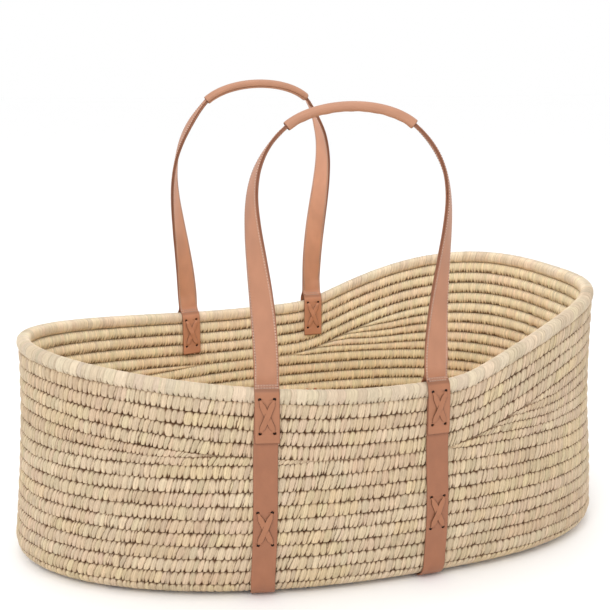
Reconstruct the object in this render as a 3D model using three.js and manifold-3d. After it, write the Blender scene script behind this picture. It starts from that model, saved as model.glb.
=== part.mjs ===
// A coiled palm-leaf Moses basket with two leather carrying handles.
// Millimetres. +X runs from the foot end to the hooded head end, -Y is the front, +Z is up.
// The origin is on the floor, under the middle of the basket.
import * as THREE from 'three';
import { mergeVertices } from 'three/addons/utils/BufferGeometryUtils.js';
import Module from 'manifold-3d';

// Plan of the wall's outer face: half an ellipse at the foot, half a fuller oval at the head.
const HALF_LENGTH = 399;
const HALF_WIDTH = 249.5;
const WIDEST_X = 39;
const FOOT_POWER = 2;
const HEAD_POWER = 2.8;

// Shape of the wall in section.
const WALL_THICKNESS = 15;
const END_FLARE = 20;
const END_FLARE_POWER = 1.6;
const SIDE_BULGE = 6;
const SIDE_BULGE_TOP = 0.74;
const BOTTOM_ROUND = 24;

// Courses of the coil, from the bottom up.
const COURSE_PITCH = 17.2;
const LOWER_COURSES = 10;
const UPPER_COURSES = 4;
const COURSE_GAP = 0.4;
const COURSE_BEVEL = 3.5;
const COURSE_MIN_HEIGHT = 0.5;
const TIP_HEIGHT = 1.6;
const FACET_LENGTH = 62;

// Rim binding and how far the head and foot ends stand above the sides.
const RIM_HEIGHT = 18;
const RIM_THICKNESS = 18;
const RIM_BEVEL = 6;
const HEAD_RISE = 88.4;
const HEAD_START = 104;
const HEAD_SOFTENING = 30;
const HEAD_EASE = 1.7;
const FOOT_RISE = 38.4;
const FOOT_START = 20;
const FOOT_EASE = 1.6;
const SLOPE_SKEW = 25;

// Short courses that fill the taller ends: where each starts along the basket, and its taper.
const HEAD_SHORT = { starts: [-10, 100, 126, 152, 178], taper: 70 };
const FOOT_SHORT = { starts: [24, 190], taper: 90 };

// Leather. A strap drifts along the wall from its place at the rim to its drift at the floor.
const STRAP_WIDTH = 30;
const STRAP_THICKNESS = 2.5;
const PLY_THICKNESS = 2;
const CONTACT_GAP = 0.3;
const STRAP_RIM_GAP = 1;
const STRAP_X = { foot: -128, head: 86 };
const STRAP_DRIFT = { foot: { front: -8, rear: 0 }, head: { front: 0, rear: 0 } };
const SIDES = { front: -1, rear: 1 };
const TAB_DROP = 67;
const TAB_APEX = 6.6;
const TAB_SHOULDER_TURN = 38;
const TAB_BEND_DROP = 2;
const INNER_TAB_CLEARANCE = 2;
const SEAT_HALF_WIDTH = 25;
const HOLE_DROP = 12;
const HOLE_RISE = 42;
const HOLE_SPREAD = 17.4;
const STRAP_LACE_Z = 96;
const LACE_WIDTH = 5;
const LACE_THICKNESS = 1.2;
const LACE_LEG = 3;
const LACE_HOLE = 3.6;
const LACE_WELD = 1.02;

// Handles. Heights are above the rim, across is from the middle of the loop.
const HINGE_RISE = 20;
const ROOT_RISE = 9;
const LEG_BULGE = [0, 177];
const LEG_SHOULDER = [45, 242];
const LEG_SWAY = { front: 0, rear: -9.3 };
const GRIP_HALF_LENGTH = 76.5;
const GRIP_END_RISE = { front: 309.7, rear: 336 };
const GRIP_ARCH = 30.5;
const GRIP_LEAD = 35.7;
const GRIP_RADIUS = 7.5;
const GRIP_BORE = 6;
const STRAP_WIDTH_IN_GRIP = 10;
const STRAP_NARROWING = 63;
const TWIST_START = 9;
const TWIST_POWER = 1.48;
const GRIP_TURN = { front: 17.3, rear: 6.3 };
const LEAN_IN = { front: 9, rear: 13.8 };

const OUTLINE_SAMPLES = 720;
const STRAP_CORNERS = 3;
const LEG_STEPS = 12;
const GRIP_STEPS = 6;
const GRIP_SIDES = 10;

const WALL_BOTTOM = STRAP_THICKNESS + CONTACT_GAP;
const LOWER_TOP = WALL_BOTTOM + LOWER_COURSES * COURSE_PITCH;
const SIDE_RIM_TOP = LOWER_TOP + UPPER_COURSES * COURSE_PITCH + RIM_HEIGHT;
const UP = new THREE.Vector3(0, 0, 1);

const wasm = await Module();
wasm.setup();

// The far face of a ply is split the same way as its near face, so they stay parallel.
const PLY_CROSSED = [2];

const clamp = (value) => Math.min(Math.max(value, 0), 1);

// ---------------------------------------------------------------- wall surface

// Half-axes of the outer face at height z; lengthwise is measured from WIDEST_X on either side.
function planAt(z) {
  const height = clamp((z - WALL_BOTTOM) / (SIDE_RIM_TOP - WALL_BOTTOM));
  const low = clamp((BOTTOM_ROUND - (z - WALL_BOTTOM)) / BOTTOM_ROUND);
  const tuck = BOTTOM_ROUND * (1 - Math.sqrt(1 - low ** 2));
  const flare = END_FLARE * (1 - height) ** END_FLARE_POWER;
  const bulge = SIDE_BULGE * Math.sin(Math.PI * Math.min(height / SIDE_BULGE_TOP, 1)) ** 2;
  return {
    foot: HALF_LENGTH + WIDEST_X + flare - tuck,
    head: HALF_LENGTH - WIDEST_X + flare - tuck,
    side: HALF_WIDTH + bulge - tuck,
  };
}

// Point on the wall at an angle round the plan, a height, and a depth in from the outer face.
function wallPoint(angle, z, depth) {
  const plan = planAt(z);
  const c = Math.cos(angle);
  const s = Math.sin(angle);
  const power = c < 0 ? FOOT_POWER : HEAD_POWER;
  const long = c < 0 ? plan.foot : plan.head;
  const across = Math.sign(c) * Math.abs(c) ** (2 / power);
  const aside = Math.sign(s) * Math.abs(s) ** (2 / power);
  const steepX = (Math.sign(c) * Math.abs(across) ** (power - 1)) / long;
  const steepY = (Math.sign(s) * Math.abs(aside) ** (power - 1)) / plan.side;
  const steep = Math.hypot(steepX, steepY);
  return new THREE.Vector3(
    WIDEST_X + long * across - (depth * steepX) / steep,
    plan.side * aside - (depth * steepY) / steep,
    z,
  );
}

// Angle round the plan, from 0 to a full turn, at a given x on the front (-1) or rear (+1).
function angleAt(x, side) {
  const power = x < WIDEST_X ? FOOT_POWER : HEAD_POWER;
  const long = x < WIDEST_X ? HALF_LENGTH + WIDEST_X : HALF_LENGTH - WIDEST_X;
  const across = (x - WIDEST_X) / long;
  const angle = Math.acos(Math.sign(across) * Math.abs(across) ** (power / 2));
  return side > 0 ? angle : 2 * Math.PI - angle;
}

// Angles of the corners every course shares. The wall is flat behind each strap, between two
// corners, and the rest of the outline is divided into facets of about the same length.
function cornerAngles() {
  const lengths = [0];
  for (let i = 1; i <= OUTLINE_SAMPLES; i += 1) {
    const here = wallPoint((2 * Math.PI * i) / OUTLINE_SAMPLES, SIDE_RIM_TOP, 0);
    const before = wallPoint((2 * Math.PI * (i - 1)) / OUTLINE_SAMPLES, SIDE_RIM_TOP, 0);
    lengths.push(lengths[i - 1] + here.distanceTo(before));
  }
  const whole = lengths[OUTLINE_SAMPLES];
  const lengthAt = (angle) => {
    const place = (OUTLINE_SAMPLES * angle) / (2 * Math.PI);
    const i = Math.min(Math.floor(place), OUTLINE_SAMPLES - 1);
    return lengths[i] + (lengths[i + 1] - lengths[i]) * (place - i);
  };
  const angleAtLength = (length) => {
    const wanted = length % whole;
    const i = lengths.findIndex((value) => value > wanted) - 1;
    const share = (wanted - lengths[i]) / (lengths[i + 1] - lengths[i]);
    return (2 * Math.PI * (i + share)) / OUTLINE_SAMPLES;
  };
  const fixed = Object.values(SIDES).flatMap((side) => Object.values(STRAP_X).flatMap((x) => (
    [-SEAT_HALF_WIDTH, SEAT_HALF_WIDTH].map((offset) => angleAt(x + offset, side)))));
  fixed.sort((first, second) => first - second);
  return fixed.flatMap((angle, i) => {
    const from = lengthAt(angle);
    const to = i + 1 < fixed.length ? lengthAt(fixed[i + 1]) : lengthAt(fixed[0]) + whole;
    const count = Math.max(1, Math.round((to - from) / FACET_LENGTH));
    return Array.from({ length: count }, (_, k) => (
      k === 0 ? angle : angleAtLength(from + ((to - from) * k) / count)));
  });
}

// The flat place on the outer face behind a strap, with its outward normal.
function wallSeat(x, side, z, shift = 0) {
  const [first, second] = [-SEAT_HALF_WIDTH, SEAT_HALF_WIDTH]
    .map((offset) => wallPoint(angleAt(x + offset, side), z, 0));
  const run = new THREE.Vector3().subVectors(second, first);
  const share = (x + shift - first.x) / run.x;
  const normal = new THREE.Vector3(-run.y, run.x, 0).normalize();
  if (normal.y * side < 0) {
    normal.negate();
  }
  return { point: first.addScaledVector(run, share), normal };
}

// How far a strap has drifted along the wall at a height, from its place at the rim.
function strapShift(endName, sideName, z) {
  return STRAP_DRIFT[endName][sideName] * (1 - z / SIDE_RIM_TOP);
}

// Place along the basket that sets the rim's height; the hood starts sooner at the rear.
function alongBasket(point) {
  return point.x + (SLOPE_SKEW * point.y) / HALF_WIDTH;
}

function riseAt(along) {
  const past = along - HEAD_START;
  const soft = (past + Math.hypot(past, HEAD_SOFTENING)) / 2;
  const head = clamp(soft / (HALF_LENGTH - HEAD_START));
  const foot = clamp((-along - FOOT_START) / (HALF_LENGTH - FOOT_START));
  return HEAD_RISE * (1 - (1 - head) ** HEAD_EASE) + FOOT_RISE * foot ** FOOT_EASE;
}

function rimTopAt(along) {
  return SIDE_RIM_TOP + riseAt(along);
}

// Bottom and top of short course number index, where the wall is taller than at the sides.
function shortCourse(along, index, plan, direction) {
  const shares = plan.starts.map((start) => clamp((direction * along - start) / plan.taper));
  const total = Math.max(shares.reduce((sum, share) => sum + share, 0), 1e-6);
  const below = shares.slice(0, index).reduce((sum, share) => sum + share, 0);
  const rise = riseAt(along);
  return [
    LOWER_TOP + (rise * below) / total,
    LOWER_TOP + (rise * (below + shares[index])) / total,
  ];
}

// ---------------------------------------------------------------- geometry helpers

// Joins rings of points into one closed body. A looped row of rings needs no end caps.
// Four-cornered faces split along one diagonal, and on the sides listed in crossed the other.
function loft(rings, looped, crossed = []) {
  const sides = rings[0].length;
  const positions = [];
  const triangle = (a, b, c) => positions.push(...a.toArray(), ...b.toArray(), ...c.toArray());
  const last = looped ? rings.length : rings.length - 1;
  for (let i = 0; i < last; i += 1) {
    const here = rings[i];
    const next = rings[(i + 1) % rings.length];
    for (let j = 0; j < sides; j += 1) {
      const k = (j + 1) % sides;
      if (crossed.includes(j)) {
        triangle(here[j], here[k], next[j]);
        triangle(here[k], next[k], next[j]);
      } else {
        triangle(here[j], here[k], next[k]);
        triangle(here[j], next[k], next[j]);
      }
    }
  }
  if (!looped) {
    const end = rings[rings.length - 1];
    for (let j = 1; j < sides - 1; j += 1) {
      triangle(rings[0][0], rings[0][j + 1], rings[0][j]);
      triangle(end[0], end[j], end[j + 1]);
    }
  }
  const geometry = new THREE.BufferGeometry();
  geometry.setAttribute('position', new THREE.Float32BufferAttribute(positions, 3));
  return facingOut(geometry);
}

// Turns a closed geometry's triangles round if its volume comes out negative.
function facingOut(geometry) {
  const position = geometry.getAttribute('position');
  const [a, b, c] = [new THREE.Vector3(), new THREE.Vector3(), new THREE.Vector3()];
  let volume = 0;
  for (let i = 0; i < position.count; i += 3) {
    a.fromBufferAttribute(position, i);
    b.fromBufferAttribute(position, i + 1);
    c.fromBufferAttribute(position, i + 2);
    volume += a.dot(b.cross(c));
  }
  if (volume < 0) {
    for (let i = 0; i < position.count; i += 3) {
      b.fromBufferAttribute(position, i + 1);
      c.fromBufferAttribute(position, i + 2);
      position.setXYZ(i + 1, c.x, c.y, c.z);
      position.setXYZ(i + 2, b.x, b.y, b.z);
    }
  }
  return mergeVertices(geometry, 1e-4);
}

function toSolid(geometry) {
  const bare = geometry.clone();
  bare.deleteAttribute('normal');
  bare.deleteAttribute('uv');
  const merged = mergeVertices(bare, 1e-4);
  return new wasm.Manifold(new wasm.Mesh({
    numProp: 3,
    vertProperties: new Float32Array(merged.getAttribute('position').array),
    triVerts: new Uint32Array(merged.index.array),
  }));
}

function toGeometry(solid) {
  const mesh = solid.getMesh();
  const geometry = new THREE.BufferGeometry();
  const stride = mesh.numProp;
  const positions = [];
  for (let i = 0; i < mesh.vertProperties.length; i += stride) {
    positions.push(...mesh.vertProperties.slice(i, i + 3));
  }
  geometry.setAttribute('position', new THREE.Float32BufferAttribute(positions, 3));
  geometry.setIndex([...mesh.triVerts]);
  return geometry;
}

function cut(geometry, cutters) {
  return toGeometry(toSolid(geometry).subtract(cutters));
}

function join(geometries) {
  return geometries.map(toSolid).reduce((whole, solid) => whole.add(solid));
}

// ---------------------------------------------------------------- materials

const PALM = { color: 0xd8c39c, roughness: 0.8, metalness: 0 };
const PALE_PALM = { color: 0xe6d8bb, roughness: 0.7, metalness: 0 };
const LEATHER = { color: 0xbf8565, roughness: 0.5, metalness: 0 };
const THONG = { color: 0xb07756, roughness: 0.55, metalness: 0 };

function addMesh(parent, name, geometry, look) {
  geometry.computeVertexNormals();
  const mesh = new THREE.Mesh(geometry, new THREE.MeshStandardMaterial(look));
  mesh.name = name;
  parent.add(mesh);
  return mesh;
}

// ---------------------------------------------------------------- lacing

// A lacing place is a frame on the wall: x points out of the wall, y along it, z up.
function lacingFrame(x, side, z, shift = 0) {
  const { point, normal } = wallSeat(x, side, z, shift);
  const frame = new THREE.Group();
  frame.position.copy(point).addScaledVector(normal, -WALL_THICKNESS / 2);
  frame.rotation.z = Math.atan2(normal.y, normal.x);
  frame.updateMatrixWorld(true);
  return frame;
}

function holePlaces(middle) {
  const places = [];
  for (const y of [-HOLE_SPREAD / 2, HOLE_SPREAD / 2]) {
    for (const z of [middle - HOLE_RISE / 2, middle + HOLE_RISE / 2]) {
      places.push([y, z]);
    }
  }
  return places;
}

function pegs(middle, size, from, to) {
  return holePlaces(middle).map(([y, z]) => {
    const peg = new THREE.BoxGeometry(to - from, size, size);
    return peg.translate((from + to) / 2, y, z);
  });
}

function channels(middle) {
  const reach = 2 * WALL_THICKNESS;
  return join(pegs(middle, LACE_HOLE, -reach, reach));
}

// One thong: four legs through the wall, and a cross of two flat runs on each face.
function laceGeometry(middle, inside, outside) {
  const runLength = Math.hypot(HOLE_SPREAD, HOLE_RISE) + LACE_LEG;
  const lean = Math.atan2(HOLE_SPREAD, HOLE_RISE);
  const under = LACE_THICKNESS / 2;
  const over = under + LACE_THICKNESS;
  const faces = [
    [outside + under, -lean],
    [outside + over, lean],
    [inside - under, lean],
    [inside - over, -lean],
  ];
  const runs = faces.map(([x, tilt]) => {
    const run = new THREE.BoxGeometry(LACE_THICKNESS * LACE_WELD, LACE_WIDTH, runLength);
    return run.rotateX(tilt).translate(x, 0, middle);
  });
  return toGeometry(join([...pegs(middle, LACE_LEG, inside - over, outside + over), ...runs]));
}

// ---------------------------------------------------------------- tabs

// Section of a tab, out from the wall's middle and up from the rim's top. It rises from the
// wall's face, rounds the rim's shoulder and leans in to meet its partner above the rim.
function tabOutline(face) {
  const inner = face;
  const outer = face + PLY_THICKNESS;
  const shoulder = RIM_THICKNESS / 2 + CONTACT_GAP;
  const centre = -RIM_HEIGHT / 2;
  const turn = THREE.MathUtils.degToRad(TAB_SHOULDER_TURN);
  const shape = new THREE.Shape();
  shape.moveTo(inner, -TAB_DROP);
  shape.lineTo(outer, -TAB_DROP);
  shape.lineTo(outer, -RIM_HEIGHT - TAB_BEND_DROP);
  shape.lineTo(shoulder + PLY_THICKNESS, centre);
  for (const share of [0.5, 1]) {
    const radius = shoulder + PLY_THICKNESS;
    shape.lineTo(radius * Math.cos(turn * share), centre + radius * Math.sin(turn * share));
  }
  shape.lineTo(PLY_THICKNESS + CONTACT_GAP / 2, TAB_APEX);
  shape.lineTo(CONTACT_GAP / 2, TAB_APEX);
  for (const share of [1, 0.5]) {
    shape.lineTo(shoulder * Math.cos(turn * share), centre + shoulder * Math.sin(turn * share));
  }
  shape.lineTo(shoulder, centre);
  shape.lineTo(inner, -RIM_HEIGHT - TAB_BEND_DROP);
  shape.closePath();
  return shape;
}

function tabGeometry(face, inward) {
  const geometry = new THREE.ExtrudeGeometry(tabOutline(face), {
    depth: STRAP_WIDTH,
    bevelEnabled: false,
  });
  geometry.translate(0, 0, -STRAP_WIDTH / 2).rotateX(Math.PI / 2);
  return inward ? geometry.rotateZ(Math.PI) : geometry;
}

// ---------------------------------------------------------------- seats for the handles

const outerTabFace = WALL_THICKNESS / 2 + CONTACT_GAP + STRAP_THICKNESS + CONTACT_GAP;
const innerTabFace = WALL_THICKNESS / 2 + INNER_TAB_CLEARANCE;
const holeMiddle = -HOLE_DROP - HOLE_RISE / 2;

// Lowest and highest points of the rim's top across the strap's width at a seat.
function rimTopsUnderStrap(x, side) {
  const [first, second] = [-SEAT_HALF_WIDTH, SEAT_HALF_WIDTH].map((offset) => {
    const corner = wallPoint(angleAt(x + offset, side), SIDE_RIM_TOP, 0);
    return rimTopAt(alongBasket(corner));
  });
  const slope = (Math.abs(second - first) * STRAP_WIDTH) / (4 * SEAT_HALF_WIDTH);
  const middle = (first + second) / 2;
  return { low: middle - slope, high: middle + slope };
}

const tabSeats = [];
const laceSeats = [];
for (const [sideName, side] of Object.entries(SIDES)) {
  for (const [endName, x] of Object.entries(STRAP_X)) {
    const rimTop = rimTopsUnderStrap(x, side).high;
    const tabFrame = lacingFrame(x, side, rimTop);
    const laceShift = strapShift(endName, sideName, STRAP_LACE_Z);
    const laceFrame = lacingFrame(x, side, STRAP_LACE_Z, laceShift);
    tabSeats.push({ name: `${sideName}_${endName}`, sideName, endName, frame: tabFrame });
    laceSeats.push({ name: `${sideName}_${endName}`, frame: laceFrame });
  }
}

const allChannels = [
  ...tabSeats.map((seat) => [seat.frame, holeMiddle]),
  ...laceSeats.map((seat) => [seat.frame, 0]),
]
  .map(([frame, middle]) => toSolid(toGeometry(channels(middle)).applyMatrix4(frame.matrixWorld)))
  .reduce((whole, solid) => whole.add(solid));

// ---------------------------------------------------------------- courses, rim and base

// Ring of section points of a course between two heights: flat above and below, faceted faces.
function courseSection(angle, bottom, top, thickness, bevel) {
  const proud = (thickness - WALL_THICKNESS) / 2;
  const low = bottom + COURSE_GAP / 2;
  const high = Math.max(top - COURSE_GAP / 2, low + COURSE_MIN_HEIGHT);
  const middle = (low + high) / 2;
  const edge = Math.min(bevel, (high - low) / 2);
  return [
    wallPoint(angle, middle, -proud),
    wallPoint(angle, high, edge - proud),
    wallPoint(angle, high, WALL_THICKNESS + proud - edge),
    wallPoint(angle, middle, WALL_THICKNESS + proud),
    wallPoint(angle, low, WALL_THICKNESS + proud - edge),
    wallPoint(angle, low, edge - proud),
  ];
}

const corners = cornerAngles().map((angle) => (
  { angle, along: alongBasket(wallPoint(angle, SIDE_RIM_TOP, 0)) }));

function fullCourse(heights, thickness, bevel) {
  return loft(corners.map(({ angle, along }) => {
    const [bottom, top] = heights(along);
    return courseSection(angle, bottom, top, thickness, bevel);
  }), true);
}

// A short course runs round one end only, over the corners where it is tall enough.
function partCourse(index, plan, direction) {
  const kept = corners
    .map(({ angle, along }) => ({ angle, heights: shortCourse(along, index, plan, direction) }))
    .filter(({ heights }) => heights[1] - heights[0] > TIP_HEIGHT);
  const turned = ({ angle }) => (direction > 0 && angle > Math.PI ? angle - 2 * Math.PI : angle);
  kept.sort((first, second) => turned(first) - turned(second));
  return loft(kept.map(({ angle, heights }) => (
    courseSection(angle, ...heights, WALL_THICKNESS, COURSE_BEVEL))), false);
}

function baseMat() {
  const depth = WALL_THICKNESS - COURSE_BEVEL + CONTACT_GAP;
  const shape = new THREE.Shape(corners.map(({ angle }) => {
    const point = wallPoint(angle, WALL_BOTTOM + COURSE_GAP / 2, depth);
    return new THREE.Vector2(point.x, point.y);
  }));
  const thickness = WALL_THICKNESS - COURSE_GAP;
  const mat = new THREE.ExtrudeGeometry(shape, { depth: thickness, bevelEnabled: false });
  return mat.translate(0, 0, WALL_BOTTOM);
}

// ---------------------------------------------------------------- straps

// Corners of a flat band across its run: width along one direction, thickness along another.
function bandSection(centre, widthway, outward, width, from, to) {
  const corner = (across, out) => centre.clone()
    .addScaledVector(widthway, (across * width) / 2)
    .addScaledVector(outward, out);
  return [corner(-1, from), corner(1, from), corner(1, to), corner(-1, to)];
}

// A strap down one wall, under the base and up the other wall.
function underStrap(endName) {
  const x = STRAP_X[endName];
  const bend = WALL_BOTTOM + BOTTOM_ROUND;
  const half = (sideName) => {
    const side = SIDES[sideName];
    const top = rimTopsUnderStrap(x, side).low - RIM_HEIGHT - STRAP_RIM_GAP;
    const heights = [top];
    const highest = Math.floor((top - WALL_BOTTOM) / COURSE_PITCH) - 1;
    for (let k = highest; (k + 1) * COURSE_PITCH > 2 * BOTTOM_ROUND; k -= 1) {
      heights.push(WALL_BOTTOM + (k + 0.5) * COURSE_PITCH);
    }
    heights.push(bend);
    const rings = heights.map((z) => {
      const { point, normal } = wallSeat(x, side, z, strapShift(endName, sideName, z));
      const widthway = new THREE.Vector3().crossVectors(normal, UP).multiplyScalar(side);
      return bandSection(point, widthway, normal, STRAP_WIDTH,
        CONTACT_GAP, CONTACT_GAP + STRAP_THICKNESS);
    });
    const { point, normal } = wallSeat(x, side, bend, strapShift(endName, sideName, bend));
    const widthway = new THREE.Vector3().crossVectors(normal, UP).multiplyScalar(side);
    const centre = point.addScaledVector(normal, -BOTTOM_ROUND);
    const inside = BOTTOM_ROUND + CONTACT_GAP;
    const halfStep = Math.PI / (4 * STRAP_CORNERS);
    const spread = Math.cos(halfStep);
    for (let i = 0; i < STRAP_CORNERS; i += 1) {
      const turn = halfStep * (2 * i + 1);
      const outward = normal.clone().multiplyScalar(Math.cos(turn)).addScaledVector(UP, -Math.sin(turn));
      rings.push(bandSection(centre, widthway, outward, STRAP_WIDTH,
        inside / spread, (inside + STRAP_THICKNESS) / spread));
    }
    return rings;
  };
  return loft([...half('front'), ...half('rear').reverse()], false);
}

// ---------------------------------------------------------------- handles

// Centre line of a handle loop in its own frame: x across, z up, y towards the outside.
function loopCurve(halfSpan, sideName) {
  const endRise = GRIP_END_RISE[sideName];
  const sway = LEG_SWAY[sideName];
  const place = (x, z) => new THREE.Vector3(x, 0, z - HINGE_RISE);
  const leg = (sign) => [
    place(sign * halfSpan, ROOT_RISE),
    place(sign * (halfSpan + LEG_BULGE[0]) + sway, LEG_BULGE[1]),
    place(sign * (halfSpan + LEG_SHOULDER[0]) + sway, LEG_SHOULDER[1]),
    place(sign * GRIP_HALF_LENGTH, endRise),
  ];
  const grip = [
    place(-GRIP_HALF_LENGTH, endRise),
    place(GRIP_LEAD - GRIP_HALF_LENGTH, endRise + GRIP_ARCH),
    place(GRIP_HALF_LENGTH - GRIP_LEAD, endRise + GRIP_ARCH),
    place(GRIP_HALF_LENGTH, endRise),
  ];
  return {
    footLeg: new THREE.CubicBezierCurve3(...leg(-1)),
    grip: new THREE.CubicBezierCurve3(...grip),
    headLeg: new THREE.CubicBezierCurve3(...leg(1).reverse()),
  };
}

// Stations along the loop, each with its centre, the strap's outward and widthway directions
// and its width. The strap lies flat to the wall at its roots and flat to the hand in the grip.
function loopStations(halfSpan, sideName) {
  const side = SIDES[sideName];
  const curve = loopCurve(halfSpan, sideName);
  const top = curve.grip.getPoint(0.5).z;
  const stations = [];
  const add = (part, t, inGrip) => {
    const centre = part.getPoint(t);
    const tangent = part.getTangent(t);
    const high = clamp((centre.z - TWIST_START) / (top - TWIST_START));
    const twist = inGrip ? Math.PI / 2 : (Math.PI / 2) * (1 - (1 - high) ** TWIST_POWER);
    const outOfLoop = new THREE.Vector3(-tangent.z, 0, tangent.x);
    const offWall = new THREE.Vector3(0, side, 0);
    const outward = offWall.clone().multiplyScalar(Math.cos(twist))
      .addScaledVector(outOfLoop, Math.sin(twist));
    const widthway = offWall.clone().multiplyScalar(Math.sin(twist))
      .addScaledVector(outOfLoop, -Math.cos(twist));
    const toGrip = clamp(((1 - t) * part.getLength()) / STRAP_NARROWING);
    const fromGrip = clamp((t * part.getLength()) / STRAP_NARROWING);
    const open = part === curve.footLeg ? toGrip : fromGrip;
    const eased = inGrip ? 0 : open * open * (3 - 2 * open);
    const width = STRAP_WIDTH_IN_GRIP + (STRAP_WIDTH - STRAP_WIDTH_IN_GRIP) * eased;
    const turn = -THREE.MathUtils.degToRad(GRIP_TURN[sideName]) * high * high;
    for (const vector of [centre, outward, widthway]) {
      vector.applyAxisAngle(UP, turn);
    }
    stations.push({ centre, outward, widthway, width, inGrip });
  };
  for (let i = 0; i < LEG_STEPS; i += 1) {
    add(curve.footLeg, i / LEG_STEPS, false);
  }
  for (let i = 0; i <= GRIP_STEPS; i += 1) {
    add(curve.grip, i / GRIP_STEPS, true);
  }
  for (let i = 1; i <= LEG_STEPS; i += 1) {
    add(curve.headLeg, i / LEG_STEPS, false);
  }
  return stations;
}

function plyGeometry(stations, from, to) {
  return loft(stations.map(({ centre, widthway, outward, width }) => (
    bandSection(centre, widthway, outward, width, from, to))), false, PLY_CROSSED);
}

// Leather sleeve round the strap: a tube open at both ends.
function sleeveGeometry(stations) {
  const held = stations.filter((station) => station.inGrip);
  const circle = (radius) => ({ centre, widthway, outward }) => {
    const points = [];
    for (let i = 0; i < GRIP_SIDES; i += 1) {
      const angle = (2 * Math.PI * i) / GRIP_SIDES;
      points.push(centre.clone()
        .addScaledVector(widthway, radius * Math.cos(angle))
        .addScaledVector(outward, radius * Math.sin(angle)));
    }
    return points;
  };
  const outside = held.map(circle(GRIP_RADIUS));
  const inside = held.map(circle(GRIP_BORE)).reverse();
  return loft([...outside, ...inside], true);
}

// The handle's frame stands on its hinge line, which joins the middles of its two seats.
function handle(sideName) {
  const [foot, head] = ['foot', 'head'].map((end) => (
    tabSeats.find((seat) => seat.sideName === sideName && seat.endName === end).frame.position));
  const span = new THREE.Vector3().subVectors(head, foot);
  const frame = new THREE.Group();
  frame.position.addVectors(foot, head).multiplyScalar(0.5);
  frame.position.z += HINGE_RISE;
  frame.rotation.order = 'ZYX';
  frame.rotation.z = Math.atan2(span.y, span.x);
  frame.rotation.y = -Math.atan2(span.z, Math.hypot(span.x, span.y));
  frame.rotation.x = SIDES[sideName] * THREE.MathUtils.degToRad(LEAN_IN[sideName]);
  const stations = loopStations(span.length() / 2, sideName);
  const half = CONTACT_GAP / 2;
  addMesh(frame, `${sideName}_handle_outer_ply`,
    plyGeometry(stations, half, half + PLY_THICKNESS), LEATHER);
  addMesh(frame, `${sideName}_handle_inner_ply`,
    plyGeometry(stations, -half, -half - PLY_THICKNESS), LEATHER);
  addMesh(frame, `${sideName}_grip_sleeve`, sleeveGeometry(stations), LEATHER);
  return frame;
}

// ---------------------------------------------------------------- assembly

const basket = new THREE.Group();
addMesh(basket, 'base_mat', baseMat(), PALM);

for (let k = 0; k < LOWER_COURSES; k += 1) {
  const bottom = WALL_BOTTOM + k * COURSE_PITCH;
  const course = fullCourse(() => [bottom, bottom + COURSE_PITCH], WALL_THICKNESS, COURSE_BEVEL);
  addMesh(basket, `lower_course_${String(k + 1).padStart(2, '0')}`, cut(course, allChannels), PALM);
}
for (let k = 0; k < HEAD_SHORT.starts.length; k += 1) {
  addMesh(basket, `hood_course_${k + 1}`, partCourse(k, HEAD_SHORT, 1), PALM);
}
for (let k = 0; k < FOOT_SHORT.starts.length; k += 1) {
  addMesh(basket, `foot_course_${k + 1}`, partCourse(k, FOOT_SHORT, -1), PALM);
}
for (let k = 0; k < UPPER_COURSES; k += 1) {
  const heights = (along) => {
    const bottom = LOWER_TOP + riseAt(along) + k * COURSE_PITCH;
    return [bottom, bottom + COURSE_PITCH];
  };
  const course = fullCourse(heights, WALL_THICKNESS, COURSE_BEVEL);
  addMesh(basket, `upper_course_${k + 1}`, cut(course, allChannels), PALM);
}
const rim = fullCourse((along) => [rimTopAt(along) - RIM_HEIGHT, rimTopAt(along)],
  RIM_THICKNESS, RIM_BEVEL);
addMesh(basket, 'rim_binding', cut(rim, allChannels), PALE_PALM);

for (const endName of Object.keys(STRAP_X)) {
  addMesh(basket, `${endName}_under_strap`, cut(underStrap(endName), allChannels), LEATHER);
}

for (const seat of tabSeats) {
  const holes = channels(holeMiddle);
  addMesh(seat.frame, `${seat.name}_outer_tab`, cut(tabGeometry(outerTabFace, false), holes), LEATHER);
  addMesh(seat.frame, `${seat.name}_inner_tab`, cut(tabGeometry(innerTabFace, true), holes), LEATHER);
  const lace = laceGeometry(holeMiddle,
    -innerTabFace - PLY_THICKNESS - CONTACT_GAP, outerTabFace + PLY_THICKNESS + CONTACT_GAP);
  addMesh(seat.frame, `${seat.name}_tab_lace`, lace, THONG);
  basket.add(seat.frame);
}
for (const seat of laceSeats) {
  const lace = laceGeometry(0,
    -WALL_THICKNESS / 2 - INNER_TAB_CLEARANCE, WALL_THICKNESS / 2 + STRAP_THICKNESS + 2 * CONTACT_GAP);
  addMesh(seat.frame, `${seat.name}_strap_lace`, lace, THONG);
  basket.add(seat.frame);
}

for (const sideName of Object.keys(SIDES)) {
  basket.add(handle(sideName));
}

export default basket;
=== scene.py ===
import math

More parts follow.
